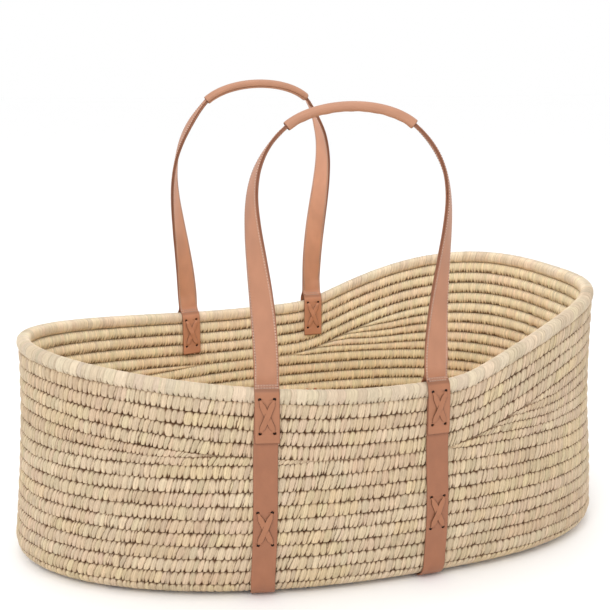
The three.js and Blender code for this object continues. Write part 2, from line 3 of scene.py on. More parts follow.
import bpy
import numpy as np
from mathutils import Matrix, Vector


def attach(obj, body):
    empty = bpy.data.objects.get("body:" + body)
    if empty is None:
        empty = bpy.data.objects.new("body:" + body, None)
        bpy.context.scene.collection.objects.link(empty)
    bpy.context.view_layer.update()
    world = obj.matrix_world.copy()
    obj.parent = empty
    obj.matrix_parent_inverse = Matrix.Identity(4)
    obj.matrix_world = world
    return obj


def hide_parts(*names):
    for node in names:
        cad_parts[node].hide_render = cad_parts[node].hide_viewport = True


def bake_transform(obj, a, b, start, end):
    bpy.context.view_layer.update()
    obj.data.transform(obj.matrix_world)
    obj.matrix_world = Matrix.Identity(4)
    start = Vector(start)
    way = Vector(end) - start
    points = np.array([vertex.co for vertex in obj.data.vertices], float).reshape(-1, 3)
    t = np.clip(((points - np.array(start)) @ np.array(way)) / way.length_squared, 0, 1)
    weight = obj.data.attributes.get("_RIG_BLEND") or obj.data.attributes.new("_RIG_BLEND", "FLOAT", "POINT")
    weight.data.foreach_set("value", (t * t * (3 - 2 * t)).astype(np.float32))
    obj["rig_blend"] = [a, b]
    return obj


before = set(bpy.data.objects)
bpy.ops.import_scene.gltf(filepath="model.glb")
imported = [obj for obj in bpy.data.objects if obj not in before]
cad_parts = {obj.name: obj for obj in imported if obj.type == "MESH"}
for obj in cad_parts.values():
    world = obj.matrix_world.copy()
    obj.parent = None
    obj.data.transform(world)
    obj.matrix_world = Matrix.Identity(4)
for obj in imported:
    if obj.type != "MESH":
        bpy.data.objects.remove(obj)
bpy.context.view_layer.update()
MM = 0.001
UP = np.array([0.0, 0.0, 1.0])
RNG_SEED = 7

# All sizes are in millimetres. They are the CAD's down to the heights that follow from them.

# The wall: an egg-shaped outline that flares at its ends and bulges at its sides.
HALF_LENGTH, HALF_WIDTH, WIDEST_X = 399, 249.5, 39
FOOT_POWER, HEAD_POWER = 2, 2.8
WALL_THICKNESS = 15
END_FLARE, END_FLARE_POWER = 20, 1.6
SIDE_BULGE, SIDE_BULGE_TOP = 6, 0.74
BOTTOM_ROUND = 24

# The courses of the coil, and how the rim rises toward the head and the foot.
COURSE_PITCH = 17.2
LOWER_COURSES, UPPER_COURSES = 10, 4
RIM_HEIGHT, RIM_THICKNESS = 18, 18
HEAD_RISE, HEAD_START, HEAD_SOFTENING, HEAD_EASE = 88.4, 104, 30, 1.7
FOOT_RISE, FOOT_START, FOOT_EASE = 38.4, 20, 1.6
SLOPE_SKEW = 25
HEAD_SHORT = {"starts": (-10, 100, 126, 152, 178), "taper": 70}
FOOT_SHORT = {"starts": (24, 190), "taper": 90}

# The under-straps, the tabs of the handles, and the holes that they are laced through.
STRAP_WIDTH, STRAP_THICKNESS, PLY_THICKNESS = 30, 2.5, 2
CONTACT_GAP = 0.3
STRAP_X = {"foot": -128, "head": 86}
SIDES = {"front": -1, "rear": 1}
STRAP_DRIFT = {("foot", "front"): -8}
SEAT_HALF_WIDTH = 25
TAB_DROP, TAB_APEX = 67, 6.6
INNER_TAB_CLEARANCE = 2
HOLE_DROP, HOLE_RISE, HOLE_SPREAD, HOLE_RADIUS = 12, 42, 17.4, 2.1
STRAP_LACE_Z = 96

# The handles, measured up from the rim.
HINGE_RISE = 20
ROOT_RISE = 9
LEG_BULGE, LEG_SHOULDER = (0, 177), (45, 242)
LEG_SWAY = {"front": 0, "rear": -9.3}
GRIP_HALF_LENGTH = 76.5
GRIP_END_RISE = {"front": 309.7, "rear": 336}
GRIP_ARCH, GRIP_LEAD = 30.5, 35.7
STRAP_WIDTH_IN_GRIP, STRAP_NARROWING = 10, 63
TWIST_START, TWIST_POWER = 9, 1.48
GRIP_TURN = {"front": 17.3, "rear": 6.3}
LEAN_IN = {"front": 9, "rear": 13.8}

# Heights and faces that follow from these.
WALL_BOTTOM = STRAP_THICKNESS + CONTACT_GAP
LOWER_TOP = WALL_BOTTOM + LOWER_COURSES * COURSE_PITCH
SIDE_RIM_TOP = LOWER_TOP + UPPER_COURSES * COURSE_PITCH + RIM_HEIGHT
OUTER_FACE = WALL_THICKNESS / 2 + CONTACT_GAP + STRAP_THICKNESS + CONTACT_GAP
INNER_FACE = WALL_THICKNESS / 2 + INNER_TAB_CLEARANCE
HOLE_MIDDLE = -HOLE_DROP - HOLE_RISE / 2

# The wraps of palm leaf: their width, how they lean over a course, and how deep its edges tuck in.
# TIP_SINK is how far the thin tips of the short courses sink between their neighbours.
WRAP_WIDTH, SHORT_WRAP_WIDTH, BASE_WRAP_WIDTH = 6.8, 5.8, 8.5
WRAP_LEAN, INNER_WRAP_LEAN, NOTCH_LEAN, BASE_WRAP_LEAN = 3.8, -1.0, -2.0, 2.0
CREASE_DEPTH, INNER_CREASE_DEPTH = 4.2, 5.0
TIP_SINK = 3.2
RIM_WRAP_WIDTH, RIM_STRAND_WIDTH, RIM_TIE_WIDTH = 10, 4.2, 6.5
RIM_INSET, RIM_FULLNESS = 0.45, 2.4
BASE_COIL = 17.0
OUTER_SAMPLES, INNER_SAMPLES, RIM_SAMPLES, BASE_SAMPLES = 15, 11, 26, 16

# The finer leather: where it bends beside the hinge, the under-straps' slight thinning, the oval grip,
# the beads of thread with dark beads of painted shade for the needle holes between them, and the thongs of
# the laces.
BEND_LOW, BEND_HIGH = -9, 30
STRAP_INSET = 0.1
GRIP_OVAL, GRIP_OVAL_HIGH, GRIP_BORE_SHARE = 7.3, 6.1, 0.82
FOLD_RUN, FOLD_FADE = 66.3, 24
STITCH_PITCH, STITCH_INSET, ROW_GAP = 3.4, 2.1, 3.2
BEAD_LENGTH, BEAD_WIDTH, BEAD_HEIGHT, NEEDLE_HEIGHT = 1.7, 1.4, 0.45, 0.35
THONG_END, THONG_MIDDLE = 1.5, 3.8
THONG_HOLE, THONG_HOLE_DEPTHS = 2.4, (2.5, 1.9)
SLEEVE_SAMPLES = 80

# Fineness of the woven surface, in millimetres between samples along a course.
WEAVE_STEP = 0.85
BAND_STEP = 2.5


# ---- wall surface

def plan_at(z):
    """Half-lengths of the outline at a height: toward the foot, toward the head, and sideways."""
    height = np.clip((z - WALL_BOTTOM) / (SIDE_RIM_TOP - WALL_BOTTOM), 0, 1)
    low = np.clip((BOTTOM_ROUND - (z - WALL_BOTTOM)) / BOTTOM_ROUND, 0, 1)
    tuck = BOTTOM_ROUND * (1 - np.sqrt(1 - low ** 2))
    flare = END_FLARE * (1 - height) ** END_FLARE_POWER
    bulge = SIDE_BULGE * np.sin(np.pi * np.minimum(height / SIDE_BULGE_TOP, 1)) ** 2
    return (HALF_LENGTH + WIDEST_X + flare - tuck,
            HALF_LENGTH - WIDEST_X + flare - tuck,
            HALF_WIDTH + bulge - tuck)


def oval_point(angle, foot, head, side, depth=0.0):
    """Points of the egg-shaped outline with those half-axes, and its outward directions."""
    c, s = np.cos(angle), np.sin(angle)
    power = np.where(c < 0, FOOT_POWER, HEAD_POWER)
    long = np.where(c < 0, foot, head)
    across = np.sign(c) * np.abs(c) ** (2 / power)
    aside = np.sign(s) * np.abs(s) ** (2 / power)
    steep_x = np.sign(c) * np.abs(across) ** (power - 1) / long
    steep_y = np.sign(s) * np.abs(aside) ** (power - 1) / side
    steep = np.hypot(steep_x, steep_y)
    out_x, out_y = steep_x / steep, steep_y / steep
    return WIDEST_X + long * across - depth * out_x, side * aside - depth * out_y, out_x, out_y


def wall_point(angle, z, depth):
    """Points of the wall at those angles and heights, that deep from its outer face."""
    x, y, _, _ = oval_point(angle, *plan_at(z), depth)
    return np.stack(np.broadcast_arrays(x, y, z), axis=-1).astype(float)


def angle_at(x, side):
    """Angle round the outline of the place at x on one side."""
    power = FOOT_POWER if x < WIDEST_X else HEAD_POWER
    long = HALF_LENGTH + WIDEST_X if x < WIDEST_X else HALF_LENGTH - WIDEST_X
    across = (x - WIDEST_X) / long
    angle = math.acos(math.copysign(abs(across) ** (power / 2), across))
    return angle if side > 0 else 2 * math.pi - angle


def wall_seat(x, side, z, shift=0.0):
    """The flat place on the wall behind a strap: its point and outward direction."""
    first, second = (wall_point(angle_at(x + offset, side), z, 0)
                     for offset in (-SEAT_HALF_WIDTH, SEAT_HALF_WIDTH))
    run = second - first
    point = first + run * (x + shift - first[0]) / run[0]
    normal = np.array([-run[1], run[0], 0.0]) / math.hypot(run[0], run[1])
    return point, normal if normal[1] * side > 0 else -normal


def strap_shift(end_name, side_name, z):
    """How far a strap has drifted along the wall at a height, from its place at the rim."""
    return STRAP_DRIFT.get((end_name, side_name), 0) * (1 - z / SIDE_RIM_TOP)


def rise_at(along):
    """How far the rim has risen above its lowest height, at a distance along the basket."""
    past = along - HEAD_START
    soft = (past + np.hypot(past, HEAD_SOFTENING)) / 2
    head = np.clip(soft / (HALF_LENGTH - HEAD_START), 0, 1)
    foot = np.clip((-along - FOOT_START) / (HALF_LENGTH - FOOT_START), 0, 1)
    return HEAD_RISE * (1 - (1 - head) ** HEAD_EASE) + FOOT_RISE * foot ** FOOT_EASE


def rim_tops_under_strap(x, side):
    """The rim's lowest and highest top across the width of a strap."""
    ends = []
    for offset in (-SEAT_HALF_WIDTH, SEAT_HALF_WIDTH):
        corner = wall_point(angle_at(x + offset, side), SIDE_RIM_TOP, 0)
        ends.append(SIDE_RIM_TOP + rise_at(corner[0] + SLOPE_SKEW * corner[1] / HALF_WIDTH))
    slope = abs(ends[1] - ends[0]) * STRAP_WIDTH / (4 * SEAT_HALF_WIDTH)
    middle = sum(ends) / 2
    return middle - slope, middle + slope


def run_along(points):
    """Length run along a line at each of its points."""
    return np.concatenate([[0], np.cumsum(np.linalg.norm(np.diff(points, axis=0), axis=1))])


def outline_angles(step):
    """Angles round the plan about that far apart, with the length run at each."""
    fine = np.linspace(0, 2 * np.pi, 7201)
    points = wall_point(fine, SIDE_RIM_TOP, 0)
    run = run_along(points)
    count = int(run[-1] / step)
    lengths = np.arange(count) * run[-1] / count
    return np.interp(lengths, run, fine), lengths, run[-1]


# ---- meshes

def smooth_step(low, high, value):
    """Eases from 0 at low to 1 at high."""
    t = np.clip((value - low) / (high - low), 0, 1)
    return t * t * (3 - 2 * t)


def per_point(values, count):
    """Three numbers for each point, from three or one for each, or from a set for them all."""
    values = np.asarray(values, float)
    rows = count if values.size >= count else 1
    return np.broadcast_to(values.reshape(rows, -1), (count, 3))


def make_mesh(name, points, faces, material, **attributes):
    """A smooth-shaded object from points in millimetres. tint and cut are colours, the rest vectors."""
    points = np.reshape(points, (-1, 3))
    mesh = bpy.data.meshes.new(name)
    mesh.from_pydata((points * MM).tolist(), [], faces)
    for attribute, given in attributes.items():
        values = per_point(given, len(points))
        if attribute in ("tint", "cut"):
            layer = mesh.attributes.new(attribute, "FLOAT_COLOR", "POINT")
            rgba = np.concatenate([values, np.ones((len(values), 1))], axis=1)
            layer.data.foreach_set("color", rgba.astype(np.float32).ravel())
        else:
            layer = mesh.attributes.new(attribute, "FLOAT_VECTOR", "POINT")
            layer.data.foreach_set("vector", values.astype(np.float32).ravel())
    mesh.shade_smooth()
    mesh.materials.append(material)
    obj = bpy.data.objects.new(name, mesh)
    bpy.context.scene.collection.objects.link(obj)
    return obj


class Shapes:
    """Several shapes gathered into one mesh, with their attributes."""

    def __init__(self):
        self.points, self.faces, self.attributes, self.count = [], [], {}, 0

    def add(self, points, faces, **attributes):
        """Adds one shape, whose faces number its own points from 0."""
        points = np.reshape(points, (-1, 3))
        self.faces += [[self.count + v for v in face] for face in faces]
        self.points.append(points)
        self.count += len(points)
        for attribute, values in attributes.items():
            self.attributes.setdefault(attribute, []).append(per_point(values, len(points)))

    def make(self, name, material):
        """The mesh object of all the shapes."""
        joined = {attribute: np.concatenate(parts) for attribute, parts in self.attributes.items()}
        return make_mesh(name, np.concatenate(self.points), self.faces, material, **joined)


def grid_faces(rows, columns, loop_rows, loop_columns):
    """Quads between the points of a grid, which may close on itself in either direction."""
    i = np.arange(rows if loop_rows else rows - 1)[:, None]
    j = np.arange(columns if loop_columns else columns - 1)[None, :]
    i_next, j_next = (i + 1) % rows, (j + 1) % columns
    corners = (i * columns + j, i_next * columns + j, i_next * columns + j_next, i * columns + j_next)
    return np.stack(np.broadcast_arrays(*corners), axis=-1).reshape(-1, 4).tolist()


def end_caps(rows, columns):
    """The two faces that close the ends of a tube."""
    return [list(range(columns)), list(range((rows - 1) * columns, rows * columns))[::-1]]


# ---- palm weave

def srgb(*values):
    """Linear colour of an sRGB colour given as 0 to 255."""
    v = np.array(values) / 255
    return np.where(v <= 0.04045, v / 12.92, ((v + 0.055) / 1.055) ** 2.4)


OUTSIDE_TONES = np.array([srgb(209, 187, 158), srgb(208, 182, 156), srgb(200, 182, 150),
                          srgb(212, 190, 147), srgb(194, 166, 136), srgb(219, 200, 171)])
# The inner face's tones carry painted light: paler than the outside to offset the shade inside the basket.
INSIDE_LIT_TONES = np.array([srgb(247, 229, 193), srgb(243, 223, 181), srgb(246, 217, 187),
                         srgb(235, 220, 181), srgb(250, 237, 201), srgb(240, 209, 172)])
RIM_TONES = np.array([srgb(210, 192, 165), srgb(205, 187, 159),
                      srgb(199, 177, 150), srgb(214, 199, 173)])
SHADE_TONE = srgb(98, 62, 32)
STRAP_TONE, TAB_TONE, LEG_TONE = srgb(152, 99, 71), srgb(162, 108, 78), srgb(174, 122, 94)
# REAR_INNER_PAINTED_LIGHT is painted light that lightens the rear handle's inner ply, its hole sides and its
# inner thongs, to offset their shade.
REAR_INNER_PAINTED_LIGHT = np.array([1.5, 1.6, 1.72])
GRIP_PALER = np.array([1.06, 1.12, 1.16])
# NEEDLE_HOLE_SHADE is painted shade: small dark beads stand for the needle holes.
THREAD_TONE, NEEDLE_HOLE_SHADE = srgb(234, 206, 188), srgb(74, 36, 24)


class Stitches:
    """A row of palm wraps along a course: where each lies and how it differs from the next."""

    def __init__(self, rng, whole, width, tones, patch=(4, 15), spread=0.16):
        count = max(3, int(round(whole / width)))
        widths = 1 + spread * rng.standard_normal(count).clip(-2, 2)
        edges = np.concatenate([[0], np.cumsum(widths)])
        self.edges = edges / edges[-1] * whole
        self.whole = whole
        self.count = count
        self.puff = 1 + 0.22 * rng.standard_normal(count).clip(-2, 2)
        self.low = rng.uniform(-1, 1, count)
        self.lean = rng.normal(0, 1, count).clip(-2, 2)
        tone = np.zeros((count, 3))
        i = 0
        while i < count:
            length = int(rng.integers(*patch))
            mix = 0.36 * tones[rng.integers(len(tones))] + 0.64 * tones.mean(axis=0)
            tone[i:i + length] = mix
            i += length
        light = 1 + 0.06 * rng.standard_normal((count, 1)).clip(-2, 2)
        self.tone = tone * light * (1 + 0.014 * rng.standard_normal((count, 3)).clip(-2, 2))

    def locate(self, run):
        """Stitch number and place across it, from -1 to 1, for lengths along the course."""
        wrapped = np.mod(run, self.whole)
        number = np.clip(np.searchsorted(self.edges, wrapped, side="right") - 1, 0, self.count - 1)
        low, high = self.edges[number], self.edges[number + 1]
        return number, 2 * (wrapped - low) / (high - low) - 1, (high - low) / 2


def wrap_relief(stitches, run, climb, lean, notch, puff, sink):
    """Relief, shade, tone, fibre place, stitch number and place across it; climb is 0 at its foot."""
    number, _, _ = stitches.locate(run)
    slant = lean * (1 + 0.5 * stitches.lean[number])
    number, place, half = stitches.locate(run - slant * (climb - 0.5))
    edge = (1 - np.abs(place)) * half
    between = (number + (place > 0)) % stitches.count
    size = 1 + 0.8 * stitches.low[between]
    cracked = np.clip(stitches.lean[between] - 0.9, 0, 0.6)
    wide = 0.55 + notch * size * (1 - smooth_step(0.0, 0.38, climb)) + 0.25 * smooth_step(0.8, 1.0, climb)
    gap = 1 - smooth_step(0.3, 1.0, edge / wide)
    deep = np.clip(0.22 + 0.75 * (1 - smooth_step(0.14, 0.44, climb)) + 0.1 * stitches.low[between]
                   + cracked, 0, 1)
    dome = 1 - (1 - np.clip(edge / 2.2, 0, 1)) ** 2
    relief = puff * stitches.puff[number] * dome - sink * gap * deep
    fibre = np.stack([place * half, climb * 14, number * 3.7 + np.zeros_like(run)], axis=-1)
    # gap * deep is painted shade in the gaps between the wraps.
    return relief, gap * deep, stitches.tone[number], fibre, number, place


def fold_lines(folds, run, climb, lean):
    """Faint lengthwise creases in the leaf, from 0 to 1."""
    _, place, half = folds.locate(run - lean * (climb - 0.5))
    return 1 - smooth_step(0.0, 0.75, (1 - np.abs(place)) * half)


class Course:
    """One course of the coil: its half height and middle at each angle, and the leaf round it."""

    def __init__(self, run, whole, bottom, top, rng, width):
        self.half = np.maximum((top - bottom) / 2 + 0.3, 1.1)[:, None]
        self.middle = ((top + bottom) / 2)[:, None]
        self.size = np.clip(self.half / (COURSE_PITCH / 2), 0.12, 1.1)
        self.thin = 1 - smooth_step(0.16, 0.38, self.size)
        self.run = run[:, None]
        self.outside = Stitches(rng, whole, width, OUTSIDE_TONES, spread=0.26)
        self.folds = Stitches(rng, whole, width * 0.42, OUTSIDE_TONES, spread=0.3)
        self.inside = Stitches(rng, whole, width * 0.62, INSIDE_LIT_TONES, patch=(8, 30), spread=0.16)
        self.notches = Stitches(rng, whole, width * 0.74, INSIDE_LIT_TONES, spread=0.24)
        self.phases = rng.uniform(0, 6, 4)

    def half_turn(self, start, samples):
        """The turn from one edge of a face to the other, the climb from 0 to 1, and the run there."""
        turn = np.linspace(start, -start, samples)[None, :]
        climb = (np.sin(turn) + 1) / 2 + 0 * self.half
        return turn, climb, self.run + 0 * climb

    def outer_face(self, under_rim):
        """Heights, depths, tones, shades and fibre places of the outer face, from foot to crown."""
        turn, climb, length = self.half_turn(-np.pi / 2, OUTER_SAMPLES)
        size, run, phases, wraps = self.size, self.run, self.phases, self.outside
        relief, gap, tone, fibre, number, place = wrap_relief(
            wraps, length, climb, WRAP_LEAN, 1.15, 0.62 * size, 2.0 * size)
        fold = fold_lines(self.folds, length, climb, WRAP_LEAN) * smooth_step(0.04, 0.3, climb)
        relief = relief - 0.32 * size * fold
        ragged = 0.5 * np.sin(run / 3.1 + phases[0]) + 0.5 * np.sin(run / 1.7 + phases[1])
        wobble = 0.5 * np.sin(run / 9.3 + phases[2]) + 0.5 * np.sin(run / 23 + phases[3])
        z = self.middle + self.half * np.sin(turn) + wobble * size * 0.6
        # The leaf bulges over the seam below and tucks in again at the crown, in scallops.
        seam = 0.05 + 0.025 * ragged + 0.03 * wraps.low[number] + 0.1 * np.abs(place) ** 3
        crown = 0.98 - 0.2 * np.abs(place) ** 2.4 + 0.02 * wraps.lean[number]
        over = smooth_step(crown - 0.03, crown + 0.05, climb) * (0.35 if under_rim else 1)
        meets = 0.4 if under_rim else 1
        tuck = CREASE_DEPTH * (1 - np.cos(turn) ** 0.62) * np.where(climb > 0.5, meets, 1)
        depth = size * (tuck + 0.8 + 1.3 * over) - relief + TIP_SINK * self.thin
        # Painted shade darkens the seams, except where the lowest course turns under the basket.
        crease = 1 - smooth_step(seam - 0.05, seam + 0.04, climb) * (1 - over)
        crease = crease * (0.35 + 0.65 * smooth_step(0, 3, z))
        # Painted shade: the gaps between wraps, the folds, the stitches' right sides and the sunk thin tips
        # are darkened too.
        strength = np.clip(0.62 + 0.4 * wraps.low[number] + 0.4 * place ** 2, 0.35, 1)
        side = 0.1 * smooth_step(0.0, 1.0, place) * smooth_step(0.1, 0.4, climb)
        dark = gap + 0.26 * fold + strength * crease + side + 0.55 * self.thin
        return z, depth, tone, np.clip(dark, 0, 0.97), fibre

    def inner_face(self):
        """The same of the inner face, from crown to foot: smoother, with small notches at its foot."""
        turn, climb, length = self.half_turn(np.pi / 2, INNER_SAMPLES)
        size, wraps = self.size, self.inside
        relief, gap, tone, fibre, number, place = wrap_relief(
            wraps, length, climb, INNER_WRAP_LEAN, 0.5, 0.45 * size, 0.5 * size)
        z = self.middle + self.half * np.sin(turn)
        notch = wrap_relief(self.notches, length, climb, NOTCH_LEAN, 1.8, 0.3, 0.3)[1]
        notch = np.clip(notch * 1.4, 0, 1) * (1 - smooth_step(0.24, 0.5, climb)) * smooth_step(6, 24, z)
        tuck = INNER_CREASE_DEPTH * size * (1 - np.cos(turn) ** 0.9)
        depth = WALL_THICKNESS - tuck + relief - 2.2 * notch * size - TIP_SINK * self.thin
        crown = 0.96 - 0.14 * np.abs(place) ** 2.4 + 0.02 * wraps.low[number]
        seam = 0.06 + 0.03 * wraps.lean[number]
        crease = 1 - smooth_step(seam - 0.05, seam + 0.06, climb) * (
            1 - smooth_step(crown - 0.03, crown + 0.04, climb))
        # Painted shade in the notches, gaps and seams, darker toward each course's foot and on the thin
        # tips.
        belly = 0.1 * (1 - smooth_step(0.15, 0.6, climb))
        dark = 0.8 * notch + 0.22 * gap + 0.34 * crease + belly + 0.5 * self.thin
        return z, depth, tone, np.clip(dark, 0, 0.9), fibre


def build_course(name, node, angles, run, whole, bottom, top, rng,
                 closed=True, width=WRAP_WIDTH, under_rim=False):
    """One course of the wall: a closed ring, or a strip that tapers away at both ends."""
    course = Course(run, whole, bottom, top, rng, width)
    both_faces = zip(course.outer_face(under_rim), course.inner_face())
    z, depth, tone, shade, fibre = (np.concatenate(pair, axis=1) for pair in both_faces)
    shade = shade[..., None]
    faces = grid_faces(*z.shape, closed, True) + ([] if closed else end_caps(*z.shape))
    obj = make_mesh(name, wall_point(angles[:, None] + 0 * z, z, depth), faces, PALM,
                    tint=tone * (1 - shade) + SHADE_TONE * shade, fibre=fibre)
    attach(obj, "basket")
    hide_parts(node)


def short_heights(along, index, plan, direction):
    """Bottom and top of one short course: its share of the rim's rise above the level courses."""
    shares = [np.clip((direction * along - start) / plan["taper"], 0, 1) for start in plan["starts"]]
    total = np.maximum(sum(shares), 1e-6)
    below = sum(shares[:index], np.zeros_like(along))
    rise = rise_at(along)
    return LOWER_TOP + rise * below / total, LOWER_TOP + rise * (below + shares[index]) / total


def build_rim(angles, run, whole, along, rng):
    """The pale binding: long smooth wraps with thin upright seams, tied down along its foot."""
    turn = np.linspace(0, 2 * np.pi, RIM_SAMPLES, endpoint=False)[None, :]
    top = (SIDE_RIM_TOP + rise_at(along))[:, None]
    wraps = Stitches(rng, whole, RIM_WRAP_WIDTH, RIM_TONES, patch=(2, 6), spread=0.4)
    strands = Stitches(rng, whole, RIM_STRAND_WIDTH, RIM_TONES, patch=(1, 4), spread=0.3)
    binding = Stitches(rng, whole, RIM_TIE_WIDTH, RIM_TONES, spread=0.25)
    length = run[:, None] + 0 * turn
    slide = -2.2 * np.sin(turn) * np.cos(turn)
    number, place, half = wraps.locate(length + slide)
    seam = 1 - smooth_step(0.1, 0.95, (1 - np.abs(place)) * half)
    seam = seam * np.clip(0.55 + 0.6 * wraps.low[number], 0.1, 1)
    strand, fine, fine_half = strands.locate(length + slide * 1.4)
    line = 1 - smooth_step(0.1, 0.9, (1 - np.abs(fine)) * fine_half)
    hood = smooth_step(110, 190, along)[:, None]
    rounding = 1 - (1 - np.clip((1 - np.abs(fine)) * fine_half / 1.8, 0, 1)) ** 2
    relief = (0.28 + 0.1 * hood) * rounding - 0.6 * seam - 0.15 * line + 0.14 * strands.low[strand]
    low = np.clip(-np.sin(turn), 0, 1)
    tie_number, tie_place, tie_half = binding.locate(length - 3.4 * np.sin(turn) * np.cos(turn))
    reach = 0.4 + 0.35 * binding.low[tie_number] + 0.25 * hood
    slit = 0.7 + 0.5 * smooth_step(0.5, 1.0, low)
    tie = (1 - smooth_step(0.25, 1.0, (1 - np.abs(tie_place)) * tie_half / slit)) * smooth_step(
        reach, reach + 0.35, low)
    relief = relief - 1.3 * tie
    fullness = np.abs(np.cos(turn)) ** RIM_FULLNESS + np.abs(np.sin(turn)) ** RIM_FULLNESS
    shape = fullness ** (-1 / RIM_FULLNESS)
    depth = WALL_THICKNESS / 2 - (RIM_THICKNESS / 2 - RIM_INSET + relief) * shape * np.cos(turn)
    z = top - RIM_HEIGHT / 2 + (RIM_HEIGHT / 2 - RIM_INSET + relief) * shape * np.sin(turn)
    outer_foot = smooth_step(0.4, 1.0, low) * smooth_step(-0.2, 0.3, np.cos(turn))
    z = z - outer_foot * (2.0 + 0.8 * binding.low[tie_number] - 1.6 * np.abs(tie_place) ** 2)
    inward = smooth_step(-0.1, 0.8, -np.cos(turn)) + 0 * length
    # Painted shade in the seams, strand lines, ties and at the rim's foot; the inner side is painted lighter
    # by a third as painted light.
    shade = np.clip(0.32 * seam + (0.09 + 0.12 * hood) * line + 0.8 * tie * (1 - 0.3 * inward)
                    + 0.15 * smooth_step(0.96, 1.0, low), 0, 0.9)[..., None]
    points = wall_point(angles[:, None] + 0 * z, z, depth)
    colour = wraps.tone[number] * (1 + 0.34 * inward[..., None]) * (1 - shade) + SHADE_TONE * shade
    fibres = np.stack([place * half, turn * 6 + 0 * length, number * 3.7 + 0 * length], axis=-1)
    obj = make_mesh("rim_binding_wrap", points, grid_faces(*z.shape, True, True), PALM,
                    tint=colour, fibre=fibres)
    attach(obj, "basket")
    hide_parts("rim_binding")


def build_base(rng):
    """The bottom: an oval coil, ring inside ring, with a straight core."""
    rings = Shapes()
    depth = WALL_THICKNESS - 2.4
    foot, head, side = plan_at(WALL_BOTTOM + 0.2)
    thickness = WALL_THICKNESS - 0.4
    fine = np.linspace(0, 2 * np.pi, 1441)
    turn = np.linspace(0, 2 * np.pi, BASE_SAMPLES, endpoint=False)[None, :]
    while side - depth > 4:
        x, y, _, _ = oval_point(fine, foot - depth, head - depth, side - depth)
        run = run_along(np.stack([x, y], axis=-1))
        count = max(24, int(run[-1] / (WEAVE_STEP * 2.6)))
        lengths = np.arange(count) * run[-1] / count
        angles = np.interp(lengths, run, fine)[:, None] + 0 * turn
        stitches = Stitches(rng, run[-1], BASE_WRAP_WIDTH, INSIDE_LIT_TONES)
        climb = (1 - np.cos(turn)) / 2 + 0 * angles
        relief, gap, tone, fibre = wrap_relief(stitches, lengths[:, None] + 0 * turn, climb,
                                               BASE_WRAP_LEAN, 1.2, 0.8, 1.4)[:4]
        inset = depth + min(BASE_COIL, side - depth - 0.5) * climb
        x, y, _, _ = oval_point(angles, foot - inset, head - inset, side - inset)
        z = WALL_BOTTOM + thickness / 2 + np.sin(turn) * (thickness / 2 - 0.9 + relief)
        # Painted shade in the crease between rings and in the gaps between wraps.
        crease = 1 - smooth_step(0.0, 0.1, climb) * (1 - smooth_step(0.9, 1.0, climb))
        shade = np.clip(gap + 0.7 * crease, 0, 0.95)[..., None]
        rings.add(np.stack([x, y, z], axis=-1), grid_faces(count, BASE_SAMPLES, True, True),
                  tint=tone * (1 - shade) + SHADE_TONE * shade, fibre=fibre)
        depth += BASE_COIL
    obj = rings.make("base_mat_coil", PALM)
    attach(obj, "basket")
    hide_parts("base_mat")


def build_basket():
    """The whole coil: level courses, sloped ones, short ones at the ends, the rim and the base."""
    angles, run, whole = outline_angles(WEAVE_STEP)
    rim_line = wall_point(angles, SIDE_RIM_TOP, 0)
    along = rim_line[:, 0] + SLOPE_SKEW * rim_line[:, 1] / HALF_WIDTH
    rng = np.random.default_rng(RNG_SEED)
    rise = rise_at(along)
    closing = 0.5 * np.minimum(rise, 3.4) * (1 - smooth_step(3.4, 8, rise))
    for k in range(LOWER_COURSES):
        low = WALL_BOTTOM + k * COURSE_PITCH + np.zeros_like(run)
        over = closing if k == LOWER_COURSES - 1 else 0
        build_course(f"lower_coil_{k + 1:02d}", f"lower_course_{k + 1:02d}", angles, run, whole,
                     low, low + COURSE_PITCH + over, rng)
    for k in range(UPPER_COURSES):
        low = LOWER_TOP + rise + k * COURSE_PITCH
        under = closing if k == 0 else 0
        build_course(f"upper_coil_{k + 1}", f"upper_course_{k + 1}", angles, run, whole,
                     low - under, low + COURSE_PITCH, rng, under_rim=k == UPPER_COURSES - 1)
    for end, plan, direction in (("hood", HEAD_SHORT, 1), ("foot", FOOT_SHORT, -1)):
        shift = 0 if direction < 0 else len(angles) // 2
        order = np.roll(np.arange(len(angles)), shift)
        for k in range(len(plan["starts"])):
            bottom, top = short_heights(along[order], k, plan, direction)
            kept = np.nonzero(top - bottom > 0.05)[0]
            pick = order[kept[0]:kept[-1] + 1]
            length = np.arange(len(pick)) * whole / len(angles)
            build_course(f"{end}_coil_{k + 1}", f"{end}_course_{k + 1}", angles[pick], length,
                         length[-1] + 1, bottom[kept[0]:kept[-1] + 1], top[kept[0]:kept[-1] + 1],
                         rng, closed=False, width=SHORT_WRAP_WIDTH)
    build_rim(angles, run, whole, along, rng)
    build_base(rng)


# ---- leather bands

def unit(v):
    """Vectors of length 1 in the same directions."""
    return v / np.maximum(np.linalg.norm(v, axis=-1, keepdims=True), 1e-9)


def facing(directions, index, toward):
    """Those directions, all reversed if the one at that index points away from toward."""
    return directions if directions[index] @ toward >= 0 else -directions


def even_path(centre, across, step, blur):
    """Resamples a path evenly, smooths it, and squares its directions to it."""
    run = run_along(centre)
    count = int(run[-1] / step) + 1
    even = np.linspace(0, run[-1], count)
    place = np.stack([np.interp(even, run, centre[:, i]) for i in range(3)], axis=-1)
    width = np.stack([np.interp(even, run, across[:, i]) for i in range(3)], axis=-1)
    for _ in range(int((blur / step) ** 2 * 2)):
        place[1:-1] = (place[:-2] + 2 * place[1:-1] + place[2:]) / 4
        width[1:-1] = (width[:-2] + 2 * width[1:-1] + width[2:]) / 4
    tangent = unit(np.gradient(place, axis=0))
    width = unit(width - tangent * np.sum(width * tangent, axis=1, keepdims=True))
    return place, tangent, width, even


